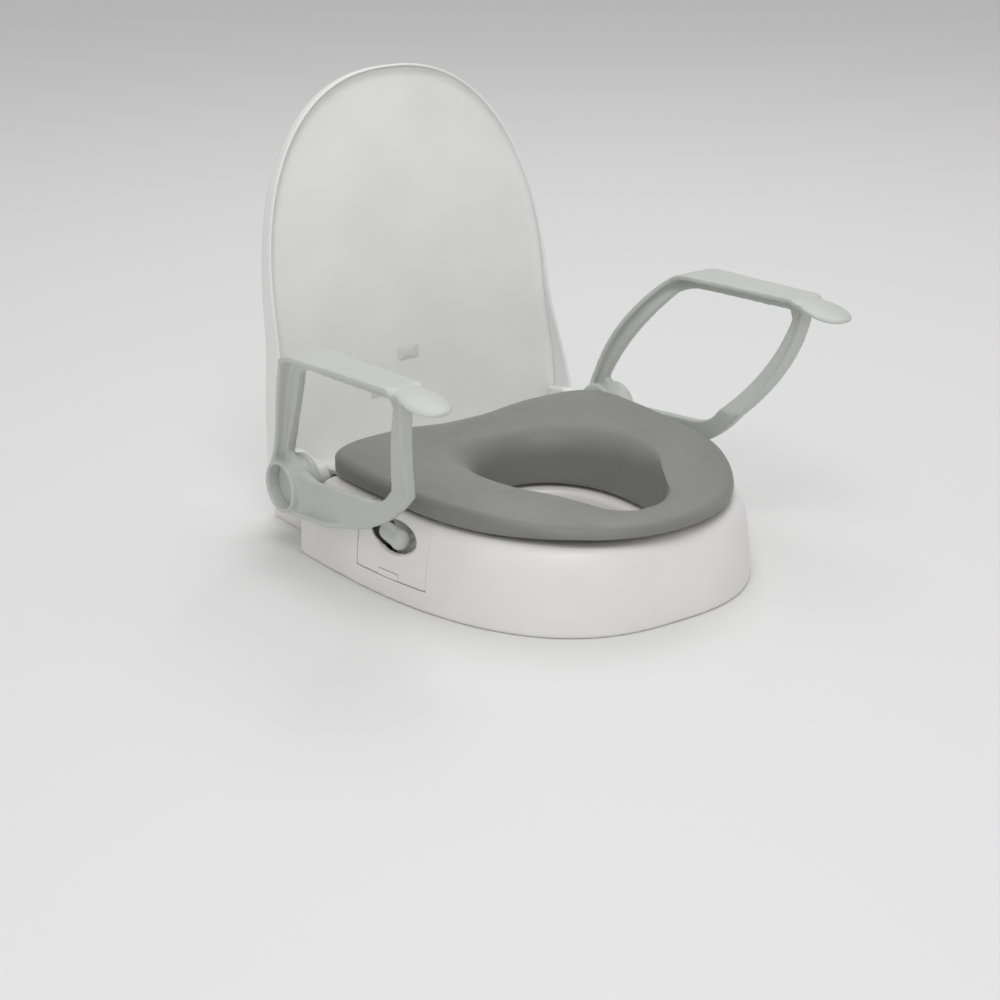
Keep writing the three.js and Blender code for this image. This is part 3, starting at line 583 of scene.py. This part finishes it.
def panel_region(grow):
    """The space that the left side panel fills: its front seam leans back over the shoulder."""
    front, rear, low, top = PANEL["front"] - grow, PANEL["rear"] + grow, PANEL["low"] - grow, COLLAR_TOP + 20
    side_view = curve((front, low), [(front, 58)], [(front, 74), (front + 5, COLLAR_TOP)], [(front + 9, top)],
                      [(rear, top)], [(rear, low + 7)], [(rear, low)], steps=10)
    near, far = 148 - grow, 240
    rings = [np.column_stack([np.full(len(side_view), x), side_view]) for x in (near, far)]
    return skin("panel_region", rings)


def make_base():
    seam = 1.1
    collar = whole_collar()
    panel = bpy.data.objects.new("side_panel_moulding_left", collar.data.copy())
    bpy.context.scene.collection.objects.link(panel)
    for side in (1, -1):
        region = panel_region(seam)
        if side < 0:
            spare = region
            region = mirrored(region, "region")
            bpy.data.objects.remove(spare)
        collar = combined(collar, region, "DIFFERENCE")
    smooth_shaded(collar, 38)
    finished(collar, "base", "collar_white", "collar")
    return panel


def make_panels(panel):
    """The panel, its scooped finger dish and its release tab, made on the left and mirrored."""
    panel = combined(panel, panel_region(0.0), "INTERSECT")
    x, y, z = CATCH["x"], CATCH["y"], CATCH["z"]
    backing = block("backing", (150, y - 38, z - 22), (170, y + 30, COLLAR_TOP - 6))
    panel = combined(panel, backing, "UNION")
    panel.name = "side_panel_moulding_left"
    for centre, radii in (((x + 10, y + 2, z + 4), (19, 36, 20)), ((x - 1, y + 10, z + 2), (15, 34, 14))):
        panel = combined(panel, ball("dish", centre, radii), "DIFFERENCE")
    tab_low, tab_high = PANEL["low"] - 5, PANEL["low"] + TAB["height"]
    tab = bpy.data.objects.new("panel_tab_left", panel.data.copy())
    bpy.context.scene.collection.objects.link(tab)
    gap = 0.45
    panel = combined(panel, block("slot", (120, TAB["front"] - gap, tab_low - gap),
                                  (240, TAB["rear"] + gap, tab_high + gap)), "DIFFERENCE")
    keep = block("keep", (120, TAB["front"], tab_low), (240, TAB["rear"], tab_high))
    tab = combined(tab, keep, "INTERSECT")
    panel = moulded(panel, 1.0, 3)
    panel = combined(panel, rod("stem_hole", 140, 200, 4.4, y, z), "DIFFERENCE")
    for name, left, node in (("side_panel_moulding", smooth_shaded(panel, 40), "side_panel"),
                             ("panel_tab", smooth_shaded(tab, 40), "panel_release_tab")):
        right = mirrored(left, f"{name}_right")
        for piece, side in ((left, "left"), (right, "right")):
            body = "base" if node == "side_panel" else f"tab_{side}"
            finished(piece, body, "collar_white", f"{node}_{side}")


# ---- Lid ----
def lid_place(points, depths):
    """From the lid's own X, distance up the lid and depth behind the hinge to the pivot frame."""
    c, k = math.cos(LID["lean"]), math.sin(LID["lean"])
    s = points[:, 1]
    return np.column_stack([points[:, 0], depths * c + s * k, PIVOT_Z + s * c - depths * k])


def lid_plan():
    """The lid's outline: an arch above the waist, and sides that widen a little down to a rounded foot."""
    waist, half, foot_half, foot = LID["waist"], LID["half_width"], LID["foot_half_width"], LID["foot"]
    corner = LID["foot_corner"]
    arc = np.linspace(0, math.pi, 721)
    c, s = np.cos(arc), np.sin(arc)
    arch = np.column_stack([np.sign(c) * half * np.abs(c) ** (2 / LID["power"]),
                            waist + (LID["apex"] - waist) * s ** (2 / LID["power"])])
    heights = np.linspace(waist, foot + corner, 60)[1:]
    widths = half + (foot_half - half) * ease(-heights, -waist, -45)
    turn = np.linspace(0, math.pi / 2, 13)
    left = np.column_stack([-widths, heights])
    left_corner = np.column_stack([-foot_half + corner - corner * np.cos(turn),
                                   foot + corner - corner * np.sin(turn)])
    right_corner = (left_corner * [-1, 1])[::-1]
    right = (left * [-1, 1])[::-1]
    return np.vstack([arch, left, left_corner, right_corner, right])


LID_MIDDLE = np.array([0.0, 170.0])
LID_EDGE = by_angle(lid_plan(), LID_MIDDLE, 420)


def near_hinge(s):
    return np.clip((250 - s) / 250, 0, 1)


def rim_depth(s):
    return LID["rim"] - 15 * np.clip((130 - s) / 130, 0, 1) ** 1.5


def panel_depth(s):
    return LID["rim"] + LID["recess"] + 18 * near_hinge(s) ** 1.3


def back_depth(s):
    return LID["rim"] + LID["depth"] + 4 * ease(-s, -312, -290) + 29 * near_hinge(s) ** 1.6


def lid_ring(distance, depth, towards_middle=0.0):
    ring = inset(LID_EDGE, distance)
    ring = mix(ring, LID_MIDDLE[None, :], towards_middle)
    return lid_place(ring, depth(ring[:, 1]))


def quarter(count=6):
    """Shares along a quarter turn: across and down."""
    return [(1 - math.cos(a), math.sin(a)) for a in np.linspace(0, math.pi / 2, count)]


TOWARDS_MIDDLE = (0.8, 0.6, 0.45, 0.3, 0.2, 0.1, 0.04)  # shares at which a flat of the lid has a ring


def lid_dish():
    """The lid's outer shell: a shallow dish with a rounded back edge and a thin rim."""
    wall, rounding = LID["wall"], 9
    rings = [lid_ring(rounding, back_depth, share) for share in TOWARDS_MIDDLE]
    rings += [lid_ring(rounding * (1 - down), lambda s, a=across: back_depth(s) - rounding * a)
              for across, down in quarter(8)]
    for share in (0.15, 0.4, 0.7, 0.92):
        rings.append(lid_ring(0, lambda s, f=share: mix(back_depth(s) - rounding, rim_depth(s) + 1.4, f)))
    rings += [lid_ring(0.5, lambda s: rim_depth(s) + 0.4), lid_ring(1.4, rim_depth),
              lid_ring(wall - 0.8, lambda s: rim_depth(s) + 0.3),
              lid_ring(wall, lambda s: rim_depth(s) + 1.2)]
    rings += [lid_ring(wall, lambda s: back_depth(s) - wall - 5),
              lid_ring(wall + 5, lambda s: back_depth(s) - wall)]
    rings += [lid_ring(rounding, lambda s: back_depth(s) - wall, share) for share in reversed(TOWARDS_MIDDLE)]
    return skin("lid_moulding", rings)


def lid_lug(side):
    """A rounded lug that reaches forward from the lid's side wall to its bush."""
    turn = np.linspace(math.pi / 2, 1.5 * math.pi, 25)
    nose = np.column_stack([EAR["radius"] * np.cos(turn), EAR["radius"] * np.sin(turn)])
    reach, top = EAR["reach"], EAR["top"]
    foot = LID["foot"] + 2
    rise = curve((reach, top), [(float(rim_depth(top)) + 2, top)],
                 [(14, EAR["radius"] + 1), (0, EAR["radius"])], steps=16)
    outline = np.vstack([nose, [(0.5 * reach, foot), (reach, foot)], rise[:-1]])
    middle = outline.mean(0)
    rounding = 2.0
    inner, outer = EAR["inner"], EAR["outer"]
    rings = []
    for x, shrink in ((inner, rounding), (inner + 0.6, 0.6), (inner + rounding, 0), (outer - rounding, 0),
                      (outer - 0.6, 0.6), (outer, rounding)):
        inwards = middle - outline
        reachable = outline + inwards * (shrink / np.linalg.norm(inwards, axis=1))[:, None]
        plan = np.column_stack([np.full(len(reachable), side * x), reachable[:, 1]])
        rings.append(lid_place(plan, reachable[:, 0]))
    return skin("lug", rings)


def make_lid():
    shell = lid_dish()
    for side in (-1, 1):
        shell = combined(shell, lid_lug(side), "UNION")
        x0, x1 = sorted((side * (EAR["inner"] - 1), side * (EAR["outer"] + 3)))
        shell = combined(shell, rod("bore", x0, x1, BUSH["outer"] + 0.35), "DIFFERENCE")
    finished(smooth_shaded(shell, 40), "lid", "lid_white", "lid_shell")

    edge, fillet, thickness = LID["wall"] + 0.35, 9.0, 2.4
    rings = [lid_ring(edge + fillet, lambda s: panel_depth(s) + thickness, share) for share in TOWARDS_MIDDLE]
    rings += [lid_ring(edge + 3, lambda s: panel_depth(s) + thickness - 2),
              lid_ring(edge, lambda s: panel_depth(s) - 4)]
    rings += [lid_ring(edge + fillet * across, lambda s, d=down: panel_depth(s) - 7 + 7 * d)
              for across, down in quarter(9)]
    rings += [lid_ring(edge + fillet, panel_depth, share) for share in reversed(TOWARDS_MIDDLE)]
    panel = skin("lid_inner_moulding", rings)
    finished(smooth_shaded(panel), "lid", "lid_white", "lid_inner_panel")

    for name, (x, s, width, height) in STICKERS.items():
        plan = rounded_rectangle(width, height, 1.5) + [x, s]
        rings = []
        for proud, shrink in ((0.15, 0.0), (0.4, 0.0), (0.5, 0.02)):
            level_plan = mix(plan, [[x, s]], shrink)
            rings.append(lid_place(level_plan, panel_depth(level_plan[:, 1]) - proud))
        sticker = smooth_shaded(skin(f"lid_sticker_{name}", rings), 40)
        finished(sticker, "lid", "label_pale", f"lid_label_{name}")


def rounded_rectangle(width, height, radius):
    corners = []
    for k, (i, j) in enumerate(((1, 1), (-1, 1), (-1, -1), (1, -1))):
        for a in np.linspace(0, math.pi / 2, 6) + k * math.pi / 2:
            corners.append((i * (width / 2 - radius) + radius * math.cos(a),
                            j * (height / 2 - radius) + radius * math.sin(a)))
    return np.array(corners)


# ---- Padded seat ----
def cushion_lip():
    """The opening's top edge, in X, Y and Z: wide behind, then drawn in and lowered towards the front."""
    half = [(0, -321, 101.3), (20, -318, 101.6), (38, -304, 103), (51, -279, 106), (66, -254, 109.2),
            (86, -228, 111.6), (98, -196, 112.4), (102, -160, 112), (99, -124, 111.6), (89, -93, 111),
            (68, -72, 109.6), (40, -62, 107.4), (0, -59, 106)]
    loop = np.array([(-x, y, z) for x, y, z in half[::-1]] + half[1:-1])
    smooth = flowing(np.vstack([loop[-3:], loop, loop[:3]]), per_span=12)[36:-24]
    return by_angle(smooth, OPENING_CENTRE, AROUND)


def make_cushion():
    """One foam moulding: square-shouldered sides, a dip behind, a lowered front and a deep inner wall."""
    outline, lip = cushion_plan(0), cushion_lip()
    x, y = np.abs(outline[:, 0]), outline[:, 1]
    front = ease(-y, 225, 345)
    rear = ease(y, -110, -40)
    shoulder = 109.2 + rear * (2.3 - 5 * (1 - ease(x, 15, 85)) - 1.8 * ease(x, 125, 172)) - 6.5 * front
    base = CUSHION_BASE + 3.5 * front
    round_over = 8 + 5 * front
    drop = 8 + 4 * front
    band = 14

    def lift(plan, z):
        return np.column_stack([plan[:, :2], np.broadcast_to(z, len(plan))])

    def drawn_in(distance):
        return outline + (cushion_plan(band) - outline) * (np.asarray(distance) / band).reshape(-1, 1)

    rings = [lift(cushion_plan(distance), base + height)
             for distance, height in ((13, 3), (10.5, 0.4), (6, 0), (2.4, 0.3))]
    bulge = 4 * (1 - rear)
    rings += [lift(drawn_in(0.6 - 0.4 * bulge), base + 1.8), lift(drawn_in(-0.8 * bulge), base + 4.5)]
    for across, down in quarter(8):
        rings.append(lift(drawn_in(round_over * across - bulge), shoulder - drop * (1 - down)))
    edge = drawn_in(round_over - bulge)
    for share in (0.1, 0.22, 0.38, 0.55, 0.72, 0.88):
        dome = (4 - 1.6 * front) * math.sin(math.pi * share)
        rings.append(lift(mix(edge, lip[:, :2], share), mix(shoulder, lip[:, 2], share) + dome))
    wall = opening_plan(0.3) + np.column_stack([np.zeros(AROUND), 6 * ease(-opening_plan(0)[:, 1], 255, 312)])
    fall = 30 - 12 * ease(-lip[:, 1], 235, 305)
    for across, down in quarter(11):
        inward = mix(lip[:, :2], wall, down)
        rings.append(lift(inward, lip[:, 2] - fall * across))
    rings += [lift(wall, lip[:, 2] - fall - 6), lift(wall, mix(lip[:, 2] - fall, WELL_FLOOR + 6, 0.6)),
              lift(wall, WELL_FLOOR + 6), lift(opening_plan(1.5), WELL_FLOOR + 2.6),
              lift(opening_plan(9), WELL_FLOOR + 1.5), lift(opening_plan(15), WELL_FLOOR + 4),
              lift(opening_plan(17), base + 3)]
    cushion = skin("seat_pad", rings, looped=True)
    relax = cushion.modifiers.new("relax", "SMOOTH")
    relax.factor, relax.iterations = 0.5, 1
    refine = cushion.modifiers.new("refine", "SUBSURF")
    refine.levels = refine.render_levels = 1
    smooth_shaded(settle(cushion))
    finished(cushion, "base", "cushion_grey", "seat_cushion")


# ---- Arms ----
# The arm's outer edge and its window, in Y and Z
ARM_OUTLINE = curve((25, 84), [(18, 104), (8, 125)], [(-11, 172), (-47, 210)], [(-76, 241), (-110, 243.5)],
                    [(-262, 253)], [(-272, 253), (-271, 240)], [(-256, 148), (-196, 64), (-60, 52)],
                    [(-14, 47)], [(24, 52), (25, 84)])
ARM_WINDOW = curve((-30, 87), [(-138, 99)], [(-171, 102), (-184, 119)], [(-228, 160), (-252, 228)],
                   [(-248, 236)], [(-112, 227)], [(-98, 226), (-78, 216)], [(-28, 166), (2, 108)],
                   [(-12, 98), (-30, 87)])
ARM_MIDDLE = np.array([-122.0, 158.0])
# Height where the rear post starts to flare outwards, and how fast each post flares
FLARE = dict(foot=95, rear=0.00195, front=0.0026)
RAIL_HALVES = (23.2, 19)  # half the rail's width at its rear and front ends


def arm_lean(points):
    """The X of the arm's middle plane. It flares outwards as it rises, in front sooner than behind."""
    y, z = points[:, 0], points[:, 1]
    low, high = ARM["middle_low"], ARM["middle_high"]
    rear = np.minimum(high, low + FLARE["rear"] * np.maximum(z - FLARE["foot"], 0) ** 2)
    front = np.maximum(low, high - FLARE["front"] * (ARM["rail"] - np.minimum(z, ARM["rail"])) ** 2)
    return mix(rear, front, ease(-y, 60, 200))


def flange_halves(points):
    """How far the flange reaches to each side: next to nothing on the blade, wide on the rail."""
    y, z = points[:, 0], points[:, 1]
    front_post = mix(ARM["web"] / 2 - 0.5, 7, ease(z, 72, 225))
    post = mix(mix(12, 14, ease(z, 100, 180)), front_post, ease(-y, 75, 110))
    rail = mix(*RAIL_HALVES, ease(-y, 105, 255))
    on_rail = mix(ease(-y, 52, 104) * (z > 205), ease(z, 236, 250), ease(-y, 140, 180))
    return mix(post, rail, on_rail)


def leaning(points, offset):
    """Points in Y and Z, set off from the arm's middle plane."""
    return np.column_stack([arm_lean(points) + offset, points])


def arm_web():
    """The thin plate between the arm's outer edge and its window."""
    outer, window = (by_angle(evenly(loop, 900), ARM_MIDDLE, 300) for loop in (ARM_OUTLINE, ARM_WINDOW))
    half = ARM["web"] / 2
    shares = (0, 0.25, 0.5, 0.75, 1)
    near = [leaning(mix(outer, window, share), half) for share in shares]
    far = [leaning(mix(outer, window, share), -half) for share in reversed(shares)]
    return skin("web", near + far, looped=True)


def arm_flange():
    """The band along the arm's outer edge."""
    edge = evenly(ARM_OUTLINE, 420)
    inside = inset(edge, ARM["flange_thickness"])
    if np.ptp(inside[:, 0]) > np.ptp(edge[:, 0]):
        inside = inset(edge, -ARM["flange_thickness"])
    middle, half = arm_lean(edge), flange_halves(edge)
    shares = (-1, -0.33, 0.33, 1)
    rings = [np.column_stack([middle + half * share, line])
             for line, direction in ((edge, shares), (inside, shares[::-1])) for share in direction]
    return skin("flange", rings, looped=True)


def arm_paddle():
    """The disc-shaped pad that swells out of the rail's front end and droops a little."""
    angles = np.arange(48) / 48 * 2 * math.pi
    across = np.sign(np.cos(angles)) * np.abs(np.cos(angles)) ** 0.85
    up = np.sign(np.sin(angles)) * np.abs(np.sin(angles)) ** 0.9
    rings = []
    tip = GRIP["y"] - GRIP["long"] * np.sin(np.linspace(0, 1, 16) * math.pi / 2)
    for y in (*np.linspace(GRIP["start"], GRIP["y"], 24, endpoint=False), *tip):
        share = min(abs(y - GRIP["y"]) / GRIP["long"], 1)
        disc = GRIP["wide"] * math.sqrt(max(1 - share ** 2, 0))
        neck = GRIP["neck"] * float(ease(y, GRIP["y"], GRIP["y"] + 12))
        half = max((disc ** 6 + neck ** 6) ** (1 / 6), 1)
        thick = mix(2, GRIP["thick"], min(half / GRIP["wide"], 1)) * mix(1, 0.75, float(ease(y, -280, -255)))
        top = GRIP["top"] - GRIP["droop"] * max(GRIP["bend"] - y, 0) ** 2
        height = top - thick / 2 + up * thick / 2 - 0.12 * thick * across ** 2
        rings.append(np.column_stack([ARM["middle_high"] - 1.2 + half * across, np.full(48, y), height]))
    return skin("paddle", rings)


def blade_root():
    """The wedge that widens the blade into the barrel."""
    rings = []
    for t in np.linspace(0, 1, 10):
        y = mix(-8, -56, t)
        outer = mix(214, 203.5, 1 - (1 - t) ** 2)
        low, high = mix(48.5, 54, t), mix(98, 86, t)
        rings.append([(196, y, low), (outer, y, low), (outer, y, high), (196, y, high)])
    return skin("root", rings)


def make_arms():
    reach, wall = ARM["barrel"], ARM["barrel_wall"]
    pocket = reach - wall
    plates = []
    for plate in (arm_web(), arm_flange(), blade_root()):
        plate = combined(plate, rod("pocket", 150, 260, pocket + 1.5), "DIFFERENCE")
        trim = block("trim", (150, -400, 0), (ARM["blade_inner"], 100, COLLAR_TOP + 2))
        plates.append(combined(plate, trim, "DIFFERENCE"))
    inner, outer = ARM["inner"], ARM["outer"]
    floor = inner + ARM["hub_web"]
    hole = BUSH["outer"] + 0.35
    barrel = turned("barrel", [(inner, hole), (inner, reach), (outer - 1.5, reach), (outer, reach - 1.3),
                               (outer, pocket + 1.3), (outer - 1.5, pocket), (floor, pocket), (floor, hole)])
    start, end, rim = ARM["disc_inner"], inner + 1, ARM["disc"]
    disc = turned("disc", [(start, hole), (start, rim), (end, rim), (end, hole)])
    arm = merged("arm_moulding_left", [*plates, arm_paddle(), barrel, disc])
    arm = moulded(arm, 1.3, 6)
    edge = pocket - 0.35
    cap = turned("hub_cover_left", [(CAP["inner"], 0.05), (CAP["inner"], edge), (CAP["outer"] - 0.8, edge),
                                    (CAP["outer"], edge - 1.2), (CAP["outer"] - 0.7, 0.05)])
    smooth_shaded(cap, 30)
    for name, left, node in (("arm_moulding", arm, "arm_frame"), ("hub_cover", cap, "pivot_cap")):
        right = mirrored(left, f"{name}_right")
        for piece, side in ((left, "left"), (right, "right")):
            finished(piece, f"arm_{side}", "arm_grey", f"{node}_{side}")


# ---- Arm catches ----
def make_catches():
    x, y, z, radius = CATCH["x"], CATCH["y"], CATCH["z"], CATCH["radius"]
    knob = ball("knob", (x, y, z), (radius, radius, radius))
    angles = np.arange(32) / 32 * 2 * math.pi
    rings = []
    for share in np.linspace(0, 1, 16):
        along, place, height = np.array((x, y, z)) + np.array(CATCH["lug"]) * share
        rounded_end = math.sqrt(max(1 - max(share - 0.75, 0) ** 2 * 15, 0.02))
        size = radius * (0.94 - 0.1 * share) * rounded_end
        rings.append([(along + size * math.cos(a), place, height + size * math.sin(a)) for a in angles])
    shoulder = skin("shoulder", rings)
    stem = rod("stem", 149, x, 4, y, z)
    catch = moulded(merged("catch_knob_left", [knob, shoulder, stem]), 0.8, 5)
    other = mirrored(catch, "catch_knob_right")
    for piece, side in ((catch, "left"), (other, "right")):
        finished(piece, f"catch_{side}", "arm_grey", f"arm_catch_{side}")


# ---- Turned fittings ----
def make_fittings():
    chamfer = 0.6
    for side, sign in SIDES.items():
        def lathe(name, profile):
            return turned(name, [(sign * along, radius) for along, radius in profile])

        def ring(name, x0, x1, outer, inner):
            return lathe(name, [(x0, inner), (x0, outer - chamfer), (x0 + chamfer, outer),
                                (x1 - chamfer, outer), (x1, outer - chamfer), (x1, inner)])

        bush_end = ARM["inner"] + ARM["hub_web"]
        bush = ring(f"arm_bushing_{side}", ARM["disc_inner"], bush_end, BUSH["outer"], BUSH["inner"])
        finished(smooth_shaded(bush, 30), f"arm_{side}", "nylon_natural", f"arm_bush_{side}")
        bush = ring(f"lid_bushing_{side}", EAR["inner"], EAR["outer"], BUSH["outer"], BUSH["inner"])
        finished(smooth_shaded(bush, 30), "lid", "nylon_natural", f"lid_bush_{side}")

        inner, outer, radius = AXLE["inner"], AXLE["outer"], AXLE["radius"]
        head_start, head_end, head_radius = inner - 4.35, inner - 0.35, 10
        bore, bore_end = 3.2, outer - 20
        pin = lathe(f"axle_pin_{side}", [
            (outer, bore), (outer, radius - chamfer), (outer - chamfer, radius), (head_end, radius),
            (head_end, head_radius - chamfer), (head_end - chamfer, head_radius),
            (head_start + chamfer, head_radius), (head_start, head_radius - chamfer), (head_start, 0.05),
            (bore_end, 0.05), (bore_end, bore)])
        finished(smooth_shaded(pin, 30), "base", "zinc_steel", f"pivot_axle_{side}")

        washer = ring(f"hub_washer_{side}", outer + 0.35, outer + 2, 13, 3.4)
        finished(smooth_shaded(washer, 30), "base", "zinc_steel", f"axle_washer_{side}")

        seat, crest = outer + 2.35, outer + 5.75
        screw = lathe(f"hub_screw_{side}", [
            (outer - 16, 0.05), (outer - 16, 2.3), (outer - 15.4, 2.9), (seat, 2.9), (seat, 6.2),
            (crest - 1.4, 6.2), (crest - 0.4, 5.4), (crest, 4.4), (crest, 0.05)])
        hexagon = [(2.6 * math.cos(a), PIVOT_Z + 2.6 * math.sin(a)) for a in np.arange(6) * math.pi / 3]
        socket = skin("socket", [[(sign * place, *p) for p in hexagon] for place in (seat + 1.4, crest + 2)])
        screw = combined(screw, socket, "DIFFERENCE")
        finished(smooth_shaded(screw, 30), "base", "zinc_steel", f"axle_screw_{side}")


def dress_frame():
    """Materials and slightly rounded edges for the CAD parts that stay."""
    slots = {row["node"]: row["material_slot"] for row in frame["record"]["subparts"]}
    for name, node in frame["nodes"].items():
        if node.hide_render:
            continue
        material = MATERIALS[slots[name]]
        node.data.materials.clear()
        node.data.materials.append(material)
        bevel = node.modifiers.new("edges", "BEVEL")
        bevel.width, bevel.segments, bevel.limit_method = 0.4 * MM, 2, "ANGLE"
        bevel.angle_limit = math.radians(40)
        smooth_shaded(node, 40)


# ---- Stage ----
def make_stage():
    mesh = bpy.data.meshes.new("floor")
    reach = 6
    corners = [(-reach, -reach, 0), (reach, -reach, 0), (reach, reach, 0), (-reach, reach, 0)]
    mesh.from_pydata(corners, [], [(0, 1, 2, 3)])
    floor = bpy.data.objects.new("floor", mesh)
    bpy.context.scene.collection.objects.link(floor)
    material = shader("floor_paint", (0.8, 0.8, 0.8), 0.6)[0]
    floor.data.materials.append(material)

    world = bpy.data.worlds.new("studio")
    bpy.context.scene.world = world
    world.use_nodes = True
    world.node_tree.nodes["Background"].inputs["Color"].default_value = (1, 1, 1, 1)
    world.node_tree.nodes["Background"].inputs["Strength"].default_value = 0.5

    view = bpy.context.scene.view_settings
    view.view_transform, view.look, view.exposure = "Standard", "None", 0

    aim = Vector((0, 0, 0.15))
    lamps = {"key": ((-0.9, -1.2, 2.6), 1.4, 26), "fill": ((-1.8, -2.6, 1.2), 2.0, 9),
             "top": ((0.9, 0.9, 2.4), 1.6, 18)}
    for name, (place, size, power) in lamps.items():
        data = bpy.data.lights.new(name, "AREA")
        data.size, data.energy = size, power
        lamp = bpy.data.objects.new(name, data)
        lamp.location = place
        lamp.rotation_euler = (aim - Vector(place)).to_track_quat("-Z", "Y").to_euler()
        bpy.context.scene.collection.objects.link(lamp)


spare_panel = make_base()
make_panels(spare_panel)
make_lid()
make_cushion()
make_arms()
make_catches()
make_fittings()
dress_frame()
make_stage()
